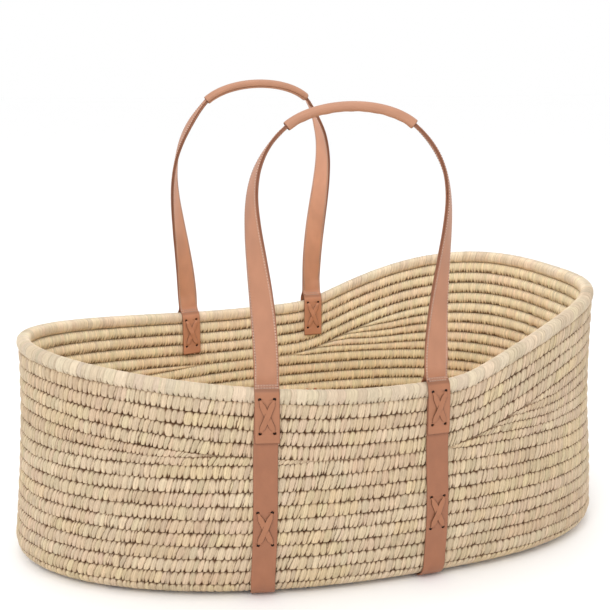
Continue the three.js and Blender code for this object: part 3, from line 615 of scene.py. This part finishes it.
def band_mesh(name, place, width, outward, widths, low, high, tones, curl=0.0, waviness=0.12):
    """A leather band with rounded edges. low and high are its faces' distances along outward."""
    rows = len(place)
    soft = min(0.6, (high - low) * 0.3)
    w = (np.asarray(widths) / 2 + np.zeros(rows))[:, None]
    rounded = [(1.0, high - soft, 1.0), (0.975, high - 0.25 * soft, 0.75), (0.93, high, 0.28),
               (0.84, high, 0.06), (0.45, high, 0.0), (0.0, high, 0.0)]
    face = rounded + [(-a, b, e) for a, b, e in rounded[-2::-1]]
    section = face + [(-a, low + high - b, e) for a, b, e in face]
    a, b, edge = (column[None, :] for column in np.array(section).T)
    edge = edge + np.zeros((rows, 1))
    theta = np.maximum(curl + np.zeros(rows), 0.02)[:, None]
    radius = 2 * w / theta
    alpha = a * theta / 2
    across = (radius + b) * np.sin(alpha)
    out = (radius + b) * np.cos(alpha) - radius * np.sin(theta / 2) / (theta / 2)
    run = np.arange(rows)[:, None] * BAND_STEP
    out = out + waviness * np.sin(run / 23 + a) * np.sin(run / 9.1 + 1.7 * a)
    points = (place[:, None, :] + across[..., None] * width[:, None, :]
              + out[..., None] * outward[:, None, :])
    columns = points.shape[1]
    edge[0], edge[-1] = 1, 1
    grain = np.stack([a * 15 + 0 * run, run + 0 * a, b * 3 + 0 * run], axis=-1)
    tint = (tones + np.zeros((rows, 3)))[:, None, :] + np.zeros((1, columns, 1))
    return make_mesh(name, points, grid_faces(rows, columns, False, True) + end_caps(rows, columns),
                     LEATHER, cut=edge, tint=tint, grain=grain)


def punch(obj, holes, tone):
    """Cuts round holes, each a centre and a direction, through a band, and tints their sides."""
    lining = {"tint": (*tone, 1), "cut": (0, 0, 0, 1)}
    cutters = []
    for centre, direction in holes:
        bpy.ops.mesh.primitive_cylinder_add(vertices=20, radius=HOLE_RADIUS * MM, depth=16 * MM,
                                            location=Vector(centre) * MM)
        cutter = bpy.context.object
        cutter.rotation_mode = "QUATERNION"
        cutter.rotation_quaternion = Vector((0, 0, 1)).rotation_difference(Vector(direction))
        cutters.append(cutter)
    bpy.ops.object.select_all(action="DESELECT")
    for cutter in cutters:
        cutter.select_set(True)
    bpy.context.view_layer.objects.active = cutters[0]
    bpy.ops.object.join()
    tool = bpy.context.object
    for attribute, value in lining.items():
        layer = tool.data.attributes.new(attribute, "FLOAT_COLOR", "POINT")
        layer.data.foreach_set("color", np.tile(value, len(tool.data.vertices)).astype(np.float32))
    modifier = obj.modifiers.new("holes", "BOOLEAN")
    modifier.operation, modifier.solver, modifier.object = "DIFFERENCE", "EXACT", tool
    graph = bpy.context.evaluated_depsgraph_get()
    cut = bpy.data.meshes.new_from_object(obj.evaluated_get(graph))
    fresh = None
    for attribute, value in lining.items():
        data = cut.attributes[attribute].data
        values = np.empty(4 * len(cut.vertices), np.float32)
        data.foreach_get("color", values)
        values = values.reshape(-1, 4)
        if fresh is None:
            # Points that the cut has made come out white or black.
            fresh = (values[:, :3].min(axis=1) > 0.9) | (values[:, :3].max(axis=1) < 0.01)
        values[fresh] = value
        data.foreach_set("color", values.ravel())
    obj.modifiers.clear()
    old = obj.data
    obj.data = cut
    bpy.data.meshes.remove(old)
    bpy.data.objects.remove(tool)


class Seat:
    """Where a handle leg meets the wall: out, along and up from the wall's middle at the rim's top."""

    def __init__(self, side_name, end_name, z=None):
        self.side, self.x = SIDES[side_name], STRAP_X[end_name]
        self.name = f"{side_name}_{end_name}"
        shift = 0.0 if z is None else strap_shift(end_name, side_name, z)
        z = rim_tops_under_strap(self.x, self.side)[1] if z is None else z
        point, self.out = wall_seat(self.x, self.side, z, shift)
        self.origin = point - self.out * WALL_THICKNESS / 2
        self.along = np.cross(self.out, UP) * self.side

    def place(self, out, up, along=0.0):
        """Points given from here as distances out, up and along."""
        out, up, along = np.broadcast_arrays(out, up, along)
        return (self.origin + out[..., None] * self.out + along[..., None] * self.along
                + up[..., None] * UP)


TABS = {(s, e): Seat(s, e) for s in SIDES for e in STRAP_X}
LACES = {(s, e): Seat(s, e, STRAP_LACE_Z) for s in SIDES for e in STRAP_X}


def tab_line(face):
    """Middle of a tab's leather, out from the wall's middle and up from the rim's top."""
    middle = face + PLY_THICKNESS / 2
    radius = RIM_THICKNESS / 2 + CONTACT_GAP + PLY_THICKNESS / 2
    heights = np.linspace(-TAB_DROP, -RIM_HEIGHT, 16)
    turn = np.radians(np.linspace(0, 40, 6))
    out = np.concatenate([np.full(16, middle), radius * np.cos(turn), [1.6, 1.15]])
    up = np.concatenate([heights, -RIM_HEIGHT / 2 + radius * np.sin(turn), [4.8, TAB_APEX]])
    return out, up


def bezier(points, t):
    """Points of the cubic curve through four control points."""
    p = np.array(points, float)
    t = t[:, None]
    return (1 - t) ** 3 * p[0] + 3 * (1 - t) ** 2 * t * p[1] + 3 * (1 - t) * t ** 2 * p[2] + t ** 3 * p[3]


def rotation(axis, angle):
    """The matrix of a turn about the x, y or z axis, given as 0, 1 or 2."""
    i, j = (axis + 1) % 3, (axis + 2) % 3
    matrix = np.eye(3)
    matrix[i, i] = matrix[j, j] = math.cos(angle)
    matrix[j, i] = math.sin(angle)
    matrix[i, j] = -matrix[j, i]
    return matrix


class Loop:
    """A handle's centre line with the strap's directions, from the foot root to the head root."""

    def __init__(self, side_name):
        side = SIDES[side_name]
        foot, head = TABS[side_name, "foot"].origin, TABS[side_name, "head"].origin
        span = head - foot
        self.hinge = (foot + head) / 2 + UP * HINGE_RISE
        yaw = math.atan2(span[1], span[0])
        pitch = math.atan2(span[2], math.hypot(span[0], span[1]))
        lean = side * math.radians(LEAN_IN[side_name])
        frame_turn = rotation(2, yaw) @ rotation(1, -pitch) @ rotation(0, lean)
        self.axis = frame_turn[:, 0]
        half, rise, sway = np.linalg.norm(span) / 2, GRIP_END_RISE[side_name], LEG_SWAY[side_name]

        def at(x, z):
            return (x, 0, z - HINGE_RISE)

        def leg(sign):
            return [at(sign * half, ROOT_RISE), at(sign * (half + LEG_BULGE[0]) + sway, LEG_BULGE[1]),
                    at(sign * (half + LEG_SHOULDER[0]) + sway, LEG_SHOULDER[1]),
                    at(sign * GRIP_HALF_LENGTH, rise)]

        grip = [at(-GRIP_HALF_LENGTH, rise), at(GRIP_LEAD - GRIP_HALF_LENGTH, rise + GRIP_ARCH),
                at(GRIP_HALF_LENGTH - GRIP_LEAD, rise + GRIP_ARCH), at(GRIP_HALF_LENGTH, rise)]
        t_leg, t_grip = np.linspace(0, 1, 90), np.linspace(0, 1, 60)
        line = np.concatenate([bezier(leg(-1), t_leg), bezier(grip, t_grip)[1:-1],
                               bezier(leg(1)[::-1], t_leg)])
        self.grip_range = (len(t_leg) - 1, len(t_leg) + len(t_grip) - 2)
        tangent = unit(np.gradient(line, axis=0))
        top = rise + 0.75 * GRIP_ARCH - HINGE_RISE
        high = np.clip((line[:, 2] - TWIST_START) / (top - TWIST_START), 0, 1)
        twist = np.pi / 2 * (1 - (1 - high) ** TWIST_POWER)
        twist[self.grip_range[0]:self.grip_range[1] + 1] = np.pi / 2
        out_of_loop = np.stack([-tangent[:, 2], 0 * high, tangent[:, 0]], axis=-1)
        off_wall = np.array([0, side, 0.0])
        across = off_wall * np.sin(twist)[:, None] - out_of_loop * np.cos(twist)[:, None]
        turn = -math.radians(GRIP_TURN[side_name]) * high * high
        self.line = self.turned(line, turn) @ frame_turn.T + self.hinge
        self.across = self.turned(across, turn) @ frame_turn.T

    @staticmethod
    def turned(v, angle):
        """Vectors turned about the upright axis, each by its own angle."""
        c, s = np.cos(angle), np.sin(angle)
        return np.stack([c * v[:, 0] - s * v[:, 1], s * v[:, 0] + c * v[:, 1], v[:, 2]], axis=-1)


def ply_path(side_name, loop, outer):
    """The path of one ply: up one tab, round the loop and down the other tab."""
    face = OUTER_FACE if outer else INNER_FACE
    sign = 1 if outer else -1
    out, up = tab_line(face)
    ends = []
    for end, flip in (("foot", 1), ("head", -1)):
        seat = TABS[side_name, end]
        along = seat.along if seat.along[0] > 0 else -seat.along
        ends.append((seat.place(sign * out, up), np.tile(flip * along, (len(out), 1))))
    tangent = unit(np.gradient(loop.line, axis=0))
    outward = facing(np.cross(loop.across, tangent), 0, TABS[side_name, "foot"].out)
    middle = loop.line + sign * (CONTACT_GAP + PLY_THICKNESS) / 2 * outward
    centre = np.concatenate([ends[0][0], middle[3:-3], ends[1][0][::-1]])
    across = np.concatenate([ends[0][1], loop.across[3:-3], ends[1][1][::-1]])
    return centre, across


def strap_shape(run, start, end):
    """The strap's width and its slight bow across, in radians, at each length along it."""
    apart = np.clip(np.maximum(start - run, run - end) / STRAP_NARROWING, 0, 1)
    widths = STRAP_WIDTH_IN_GRIP + (STRAP_WIDTH - STRAP_WIDTH_IN_GRIP) * apart * apart * (3 - 2 * apart)
    return widths, 0.25 * smooth_step(30, 120, np.minimum(run, run[-1] - run))


def lace_holes(seat, middle, out=0.0):
    """The four places that a lace goes through, that far out, with the direction of each hole."""
    return [(seat.place(out, middle + v, h), seat.out)
            for h in (-HOLE_SPREAD / 2, HOLE_SPREAD / 2) for v in (-HOLE_RISE / 2, HOLE_RISE / 2)]


def build_ply(side_name, body, loop, outer, start, end):
    """One ply of a handle with both its tabs. Gives the face that its stitches lie on."""
    label = "outer" if outer else "inner"
    centre, across = ply_path(side_name, loop, outer)
    place, tangent, width, run = even_path(centre, across, BAND_STEP, 2.6)
    outward = facing(np.cross(width, tangent), 0, TABS[side_name, "foot"].out)
    first, last = (run[np.argmin(np.linalg.norm(place - loop.line[i], axis=1))] for i in loop.grip_range)
    widths, curl = strap_shape(run, first, last)
    half = PLY_THICKNESS / 2
    near = np.minimum(run, run[-1] - run)[:, None]
    leg = smooth_step(FOLD_RUN, FOLD_RUN + FOLD_FADE, near)
    # Painted shade along the fold over the rim, and painted light on the rear handle's inner ply.
    crease = 1 - 0.55 * np.exp(-((near - FOLD_RUN) / 1.5) ** 2)
    painted_light = 1 if outer or side_name == "front" else REAR_INNER_PAINTED_LIGHT
    tones = (TAB_TONE + (LEG_TONE - TAB_TONE) * leg) * painted_light * crease
    obj = band_mesh(f"{side_name}_handle_{label}_leather", place, width, outward, widths, -half, half,
                    tones, curl)
    face = OUTER_FACE if outer else -INNER_FACE
    punch(obj, [hole for end_name in STRAP_X
                for hole in lace_holes(TABS[side_name, end_name], HOLE_MIDDLE, face)], TAB_TONE * painted_light)
    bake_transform(obj, "basket", body, tuple(start * MM), tuple(end * MM))
    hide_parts(f"{side_name}_handle_{label}_ply",
                f"{side_name}_foot_{label}_tab", f"{side_name}_head_{label}_tab")
    return BandFace(place, tangent, width, outward, run, widths, curl, half if outer else -half,
                    first, last)


def build_handle(side_name):
    """A handle: two plies that bend above the rim, their stitching, and the grip."""
    body = f"{side_name}_handle"
    loop = Loop(side_name)
    lift = unit(np.cross(loop.axis, np.cross(UP, loop.axis)))
    start, end = loop.hinge + BEND_LOW * lift, loop.hinge + BEND_HIGH * lift
    faces = [build_ply(side_name, body, loop, outer, start, end) for outer in (True, False)]
    build_stitching(side_name, body, faces, start, end)
    build_sleeve(side_name, body, loop)


def bead(centre, along, out, across, height):
    """Points of one small raised stitch: two rings between two buried tips."""
    turn = np.linspace(0, 2 * np.pi, 6, endpoint=False)[:, None]
    ring = centre + across * BEAD_WIDTH / 2 * np.cos(turn) + out * height * np.sin(turn)
    tip = centre - out * 0.2
    reach = along * BEAD_LENGTH
    return np.concatenate([[tip - reach / 2], ring - reach * 0.32, ring + reach * 0.32, [tip + reach / 2]])


BEAD_FACES = ([[0, 1 + (i + 1) % 6, 1 + i] for i in range(6)]
              + [[1 + i, 1 + (i + 1) % 6, 7 + (i + 1) % 6, 7 + i] for i in range(6)]
              + [[7 + i, 7 + (i + 1) % 6, 13] for i in range(6)])


class BandFace:
    """One face of a strap, to lay stitches on."""

    def __init__(self, place, tangent, width, outward, run, widths, curl, face, first, last):
        self.columns = [place, tangent, width, outward, widths[:, None], curl[:, None]]
        self.run, self.face, self.first, self.last = run, face, first, last

    def spot(self, length, inset, side):
        """A point that far in from one edge, with its directions along, out and across."""
        i = np.interp(length, self.run, np.arange(len(self.run)))
        k = int(min(i, len(self.run) - 2))
        place, tangent, width, outward, wide, curl = (
            v[k] * (1 - (i - k)) + v[k + 1] * (i - k) for v in self.columns)
        theta, half = max(float(curl[0]), 0.02), float(wide[0]) / 2
        radius, alpha = 2 * half / theta, side * (half - inset) / half * theta / 2
        w, o = unit(width), unit(outward)
        out = o * math.cos(alpha) + w * math.sin(alpha)
        centre = (place + w * (radius + self.face) * math.sin(alpha) + o * (
            (radius + self.face) * math.cos(alpha) - radius * math.sin(theta / 2) / (theta / 2)))
        return centre, unit(tangent), out * math.copysign(1, self.face), unit(
            w * math.cos(alpha) - o * math.sin(alpha))


def build_stitching(side_name, body, faces, start, end):
    """Thread along both edges of both faces, and two rows across each leg above the rim."""
    beads = Shapes()

    def sew(centre, along, out, across):
        needle = centre + along * BEAD_LENGTH
        beads.add(bead(centre, along, out, across, BEAD_HEIGHT), BEAD_FACES, tint=THREAD_TONE)
        # The dark bead after each stitch paints the shade of its needle hole.
        beads.add(bead(needle, along, out, across, NEEDLE_HEIGHT), BEAD_FACES, tint=NEEDLE_HOLE_SHADE)

    tab_run = FOLD_RUN + 2.4
    for face in faces:
        for leg_from, leg_to in ((tab_run, face.first - 8), (face.last + 8, face.run[-1] - tab_run)):
            for length in np.arange(leg_from, leg_to, STITCH_PITCH):
                for side in (-1, 1):
                    sew(*face.spot(length, STITCH_INSET, side))
        for base, toward in ((tab_run, 1), (face.run[-1] - tab_run, -1)):
            for extra in (0.0, ROW_GAP):
                for inset in np.arange(4.4, STRAP_WIDTH - 4.6, STITCH_PITCH):
                    centre, along, out, across = face.spot(base + toward * extra, inset, 1)
                    sew(centre, across, out, along)
    obj = beads.make(f"{side_name}_handle_stitching", THREAD)
    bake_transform(obj, "basket", body, tuple(start * MM), tuple(end * MM))


def build_sleeve(side_name, body, loop):
    """The rolled grip: an open tube with a lengthwise seam under the hand."""
    first, last = loop.grip_range
    place, tangent, width, run = even_path(loop.line[first:last + 1], loop.across[first:last + 1], 1.5, 3)
    rows, count = len(place), SLEEVE_SAMPLES
    outward = facing(np.cross(width, tangent), rows // 2, UP)
    turn = np.linspace(0, 2 * np.pi, count, endpoint=False)[None, :]
    seam_side = np.array([0, -0.8, -0.6] if side_name == "rear" else [0, -0.2, -1])
    seam_at = np.arctan2(seam_side @ outward[rows // 2], seam_side @ width[rows // 2])
    off = np.abs((turn - seam_at + np.pi) % (2 * np.pi) - np.pi)
    groove = np.exp(-(off / 0.14) ** 2)
    length = run[:, None]
    pucker = 0.0 if side_name == "rear" else 1.0
    bumps = pucker * 0.45 * np.exp(-(off / 0.5) ** 2) * np.sin(length / 3.1) * np.sin(length / 11.0)
    radius = 1 - 0.14 * groove + bumps / GRIP_OVAL
    radius = radius + 0.014 * np.sin(3 * turn + length / 31)
    ease = np.minimum(length, length[-1] - length)
    radius = radius - 0.07 * (1 - smooth_step(0, 1.0, ease))
    wide, high = GRIP_OVAL * np.cos(turn)[..., None], GRIP_OVAL_HIGH * np.sin(turn)[..., None]
    reach = wide * width[:, None, :] + high * outward[:, None, :]
    shell = place[:, None, :] + radius[..., None] * reach
    bore = place[:, None, :] + GRIP_BORE_SHARE * reach
    points = np.concatenate([shell, bore[::-1]], axis=0)
    cut = np.zeros((2 * rows, count))
    cut[:rows] = 0.95 * groove
    cut[rows:] = 1
    cut[:1], cut[rows - 1:rows] = 1, 1
    both_runs = np.concatenate([run, run[::-1]])[:, None]
    grain = np.stack(np.broadcast_arrays(turn * 7, both_runs, 0 * turn), axis=-1)
    obj = make_mesh(f"{side_name}_grip_leather", points, grid_faces(2 * rows, count, True, True), LEATHER,
                    cut=cut, tint=LEG_TONE * GRIP_PALER, grain=grain)
    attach(obj, body)
    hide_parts(f"{side_name}_grip_sleeve")


def build_under_strap(end_name):
    """The strap down the front, under the base and up the rear."""
    x, middle, bend = STRAP_X[end_name], CONTACT_GAP + STRAP_THICKNESS / 2, WALL_BOTTOM + BOTTOM_ROUND
    halves = []
    for side_name, side in SIDES.items():
        top = rim_tops_under_strap(x, side)[0] - RIM_HEIGHT - 1
        centre, across = [], []
        for z in np.linspace(top, bend, 60):
            point, normal = wall_seat(x, side, z, strap_shift(end_name, side_name, z))
            centre.append(point + normal * middle)
            across.append(np.cross(normal, UP) * side)
        hub = point - normal * BOTTOM_ROUND
        for turn in np.linspace(0.05, 1, 20) * np.pi / 2:
            outward = normal * math.cos(turn) - UP * math.sin(turn)
            centre.append(hub + outward * (BOTTOM_ROUND + middle))
            across.append(across[-1])
        halves.append((centre, across))
    centre, across = (np.array(front + rear[::-1]) for front, rear in zip(*halves))
    place, tangent, width, _ = even_path(centre, across, BAND_STEP, 2)
    outward = facing(np.cross(width, tangent), 0, np.array([0, -1, 0]))
    half = STRAP_THICKNESS / 2 - STRAP_INSET
    obj = band_mesh(f"{end_name}_under_strap_leather", place, width, outward, STRAP_WIDTH,
                    -half, half, STRAP_TONE, waviness=0.05)
    depth = WALL_THICKNESS / 2 + 1
    punch(obj, [hole for side_name in SIDES
                for hole in lace_holes(LACES[side_name, end_name], 0.0, depth)], STRAP_TONE)
    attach(obj, "basket")
    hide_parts(f"{end_name}_under_strap")


def build_lace(key, seat, middle, inside, outside, node):
    """A flat thong laced in a cross on both faces, dipping into four holes floored with dark discs of
    painted shade.
    """
    thongs = Shapes()
    # The rear handle's inner thongs get the same painted light.
    inner_tone = TAB_TONE * (REAR_INNER_PAINTED_LIGHT if key.startswith("rear") else 1)
    ring = np.linspace(0, 2 * np.pi, 14, endpoint=False)[:, None]
    # The thong's sides and underside take the near-black edge colour: cut edges darkened with painted shade.
    section = [(1, 0.15, 1), (0.86, 0.7, 0.35), (0.5, 0.92, 0), (0, 1.0, 0), (-0.5, 0.92, 0),
               (-0.86, 0.7, 0.35), (-1, 0.15, 1), (-0.85, -0.3, 1), (0, -0.35, 1), (0.85, -0.3, 1)]
    a, b, edge = (column[None, :] for column in np.array(section, float).T)
    t = np.linspace(0, 1, 40)
    up = middle + (HOLE_RISE - 2.6) * (t - 0.5)
    near = np.minimum(t, 1 - t) * math.hypot(HOLE_SPREAD, HOLE_RISE)
    for face, sign, tone in ((outside, 1, TAB_TONE), (inside, -1, inner_tone)):
        for over, lean in ((0, -1), (1, 1)):
            along = lean * sign * (HOLE_SPREAD - 0.8) * (t - 0.5)
            bump = over * 1.05 * np.exp(-((t - 0.5) / 0.15) ** 2) + 0.25 * np.sin(np.pi * t)
            lift = -2.0 + 2.6 * smooth_step(-0.8, 3.4, near) + bump
            place, _, width, run = even_path(seat.place(sign * (face + lift), up, along),
                                             np.tile(seat.along, (40, 1)), 1.0, 0.8)
            outward = np.cross(width, unit(np.gradient(place, axis=0)))
            outward = facing(outward, len(run) // 2, seat.out * sign)
            near_end = np.minimum(run, run[-1] - run)[:, None]
            half = THONG_END + (THONG_MIDDLE - THONG_END) * smooth_step(0.0, 9.0, near_end)
            points = (place[:, None, :] + (a * half)[..., None] * width[:, None, :]
                      + (b + 0 * half)[..., None] * outward[:, None, :])
            grain = np.stack(np.broadcast_arrays(a * 3, run[:, None], 0 * a), axis=-1)
            size = len(run), len(section)
            thongs.add(points, grid_faces(*size, False, True) + end_caps(*size),
                       cut=edge + 0 * half, tint=tone, grain=grain)
        for centre, out in lace_holes(seat, middle):
            # Dark discs sunk in each hole are painted shade.
            rim = THONG_HOLE * (np.sin(ring) * UP + np.cos(ring) * seat.along)
            discs = [centre + rim + sign * (face - depth) * out for depth in THONG_HOLE_DEPTHS]
            thongs.add(discs, grid_faces(2, 14, False, True) + end_caps(2, 14), cut=1, tint=tone, grain=0)
    obj = thongs.make(f"{key}_thong", THONG)
    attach(obj, "basket")
    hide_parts(node)


# ---- materials

class Surface:
    """A material, with short methods that add its nodes and give their outputs."""

    def __init__(self, name, roughness, specular=0.5):
        self.material = bpy.data.materials.new(name)
        self.material.use_nodes = True
        self.nodes, self.links = self.material.node_tree.nodes, self.material.node_tree.links
        self.shader = self.nodes["Principled BSDF"]
        self.shader.inputs["Roughness"].default_value = roughness
        self.shader.inputs["Specular IOR Level"].default_value = specular

    def node(self, kind, output, inputs):
        """Adds a node whose inputs are linked to outputs or set to constants."""
        node = self.nodes.new(kind)
        for socket, value in inputs.items():
            if isinstance(value, bpy.types.NodeSocket):
                self.links.new(value, node.inputs[socket])
            else:
                node.inputs[socket].default_value = value
        return node.outputs[output]

    def attribute(self, name, output):
        node = self.nodes.new("ShaderNodeAttribute")
        node.attribute_name = name
        return node.outputs[output]

    def noise(self, vector, scale=1.0, detail=3.0, roughness=0.55):
        return self.node("ShaderNodeTexNoise", "Fac", {
            "Scale": scale, "Detail": detail, "Roughness": roughness, "Vector": vector})

    def ramp(self, value, to_low, to_high, low=0.3, high=0.7):
        return self.node("ShaderNodeMapRange", "Result", {
            "From Min": low, "From Max": high, "To Min": to_low, "To Max": to_high, "Value": value})

    def stretch(self, vector, scale):
        return self.node("ShaderNodeMapping", "Vector", {"Scale": scale, "Vector": vector})

    def tinted(self, colour, *factors):
        """A colour scaled by each of those factors in turn."""
        for factor in factors:
            scale = self.nodes.new("ShaderNodeVectorMath")
            scale.operation = "SCALE"
            self.links.new(colour, scale.inputs[0])
            self.links.new(factor, scale.inputs["Scale"])
            colour = scale.outputs["Vector"]
        self.links.new(colour, self.shader.inputs["Base Color"])

    def bump(self, height, strength, distance):
        normal = self.node("ShaderNodeBump", "Normal", {
            "Strength": strength, "Distance": distance, "Height": height})
        self.links.new(normal, self.shader.inputs["Normal"])


def palm_material():
    """Dry leaf: fine streaks along each strand, and soft blotches."""
    surface = Surface("palm_leaf", roughness=0.62, specular=0.35)
    fibre = surface.attribute("fibre", "Vector")
    streak = surface.noise(surface.stretch(fibre, (1.5, 0.09, 1.0)), detail=4.0, roughness=0.6)
    blotch = surface.noise(surface.stretch(fibre, (0.25, 0.2, 0.6)), detail=2.0)
    surface.tinted(surface.attribute("tint", "Color"),
                   surface.ramp(streak, 0.8, 1.12), surface.ramp(blotch, 0.94, 1.05))
    surface.bump(streak, 0.35, 0.0006)
    return surface.material


def leather_material(name, edge, roughness):
    """Tanned leather: a fine grain, soft clouds, and a darker tone on its cut edges."""
    surface = Surface(name, roughness, specular=0.4)
    grain = surface.attribute("grain", "Vector")
    cloud = surface.noise(surface.stretch(grain, (0.05, 0.03, 0.05)))
    fine = surface.noise(grain, 1.6, roughness=0.6)
    mix = surface.nodes.new("ShaderNodeMix")
    mix.data_type = "RGBA"
    surface.links.new(surface.attribute("tint", "Color"), mix.inputs["A"])
    mix.inputs["B"].default_value = (*edge, 1)
    cut = surface.ramp(surface.attribute("cut", "Fac"), 0.0, 1.0, 0.35, 0.95)
    surface.links.new(cut, mix.inputs["Factor"])
    surface.tinted(mix.outputs["Result"], surface.ramp(cloud, 0.92, 1.08), surface.ramp(fine, 0.97, 1.03))
    surface.bump(fine, 0.25, 0.0003)
    return surface.material


def thread_material():
    """Waxed thread, a little worn."""
    surface = Surface("waxed_thread", roughness=0.6)
    place = surface.nodes.new("ShaderNodeTexCoord").outputs["Object"]
    surface.tinted(surface.attribute("tint", "Color"), surface.ramp(surface.noise(place, 900), 0.9, 1.08))
    return surface.material


def floor_material():
    """White paper."""
    surface = Surface("floor_paper", roughness=0.9, specular=0.1)
    surface.shader.inputs["Base Color"].default_value = (1, 1, 1, 1)
    return surface.material


# ---- studio

def area_light(name, place, target, size, power):
    """A round lamp that faces its target."""
    light = bpy.data.lights.new(name, "AREA")
    light.shape = "DISK"
    light.size = size
    light.energy = power
    obj = bpy.data.objects.new(name, light)
    obj.location = place
    obj.rotation_euler = (Vector(target) - Vector(place)).to_track_quat("-Z", "Y").to_euler()
    bpy.context.scene.collection.objects.link(obj)


CAMERA_PLACE = (-0.4539, -1.3606, 0.6313)
CAMERA_YAW, CAMERA_PITCH = 0.319, -0.217
CAMERA_LENS = 61.2


def studio():
    """White floor and white world, two soft lamps and the camera."""
    bpy.ops.mesh.primitive_plane_add(size=60, location=(0, 0, 0))
    floor = bpy.context.object
    floor.name = "floor"
    floor.data.materials.append(floor_material())

    world = bpy.data.worlds.new("studio")
    world.use_nodes = True
    world.node_tree.nodes["Background"].inputs["Color"].default_value = (1, 1, 1, 1)
    world.node_tree.nodes["Background"].inputs["Strength"].default_value = 1.0
    bpy.context.scene.world = world
    area_light("key", (-1.6, -2.2, 2.6), (0, 0, 0.2), 1.4, 34)
    area_light("top", (0.2, 0.3, 3.0), (0, 0, 0), 2.0, 16)

    camera = bpy.data.cameras.new("camera")
    camera.sensor_width = 36
    camera.lens = CAMERA_LENS
    camera.clip_start = 0.05
    rig = bpy.data.objects.new("camera", camera)
    rig.location = CAMERA_PLACE
    rig.rotation_euler = (math.pi / 2 + CAMERA_PITCH, 0, -CAMERA_YAW)
    bpy.context.scene.collection.objects.link(rig)
    bpy.context.scene.camera = rig
    bpy.context.scene.view_settings.view_transform = "Standard"


PALM = palm_material()
LEATHER = leather_material("tan_leather", srgb(132, 84, 60), 0.48)
# The thongs' near-black edge colour is their cut edges darkened with painted shade, and painted shade on the
# hole floors.
THONG = leather_material("thong_leather", srgb(34, 15, 8), 0.6)
THREAD = thread_material()

build_basket()
for name in SIDES:
    build_handle(name)
for name in STRAP_X:
    build_under_strap(name)
for (side_key, end_key), tab in TABS.items():
    build_lace(f"{side_key}_{end_key}_tab", tab, HOLE_MIDDLE, INNER_FACE + PLY_THICKNESS,
               OUTER_FACE + PLY_THICKNESS, f"{side_key}_{end_key}_tab_lace")
for (side_key, end_key), spot in LACES.items():
    build_lace(f"{side_key}_{end_key}_strap", spot, 0.0, WALL_THICKNESS / 2,
               WALL_THICKNESS / 2 + CONTACT_GAP + STRAP_THICKNESS, f"{side_key}_{end_key}_strap_lace")
studio()
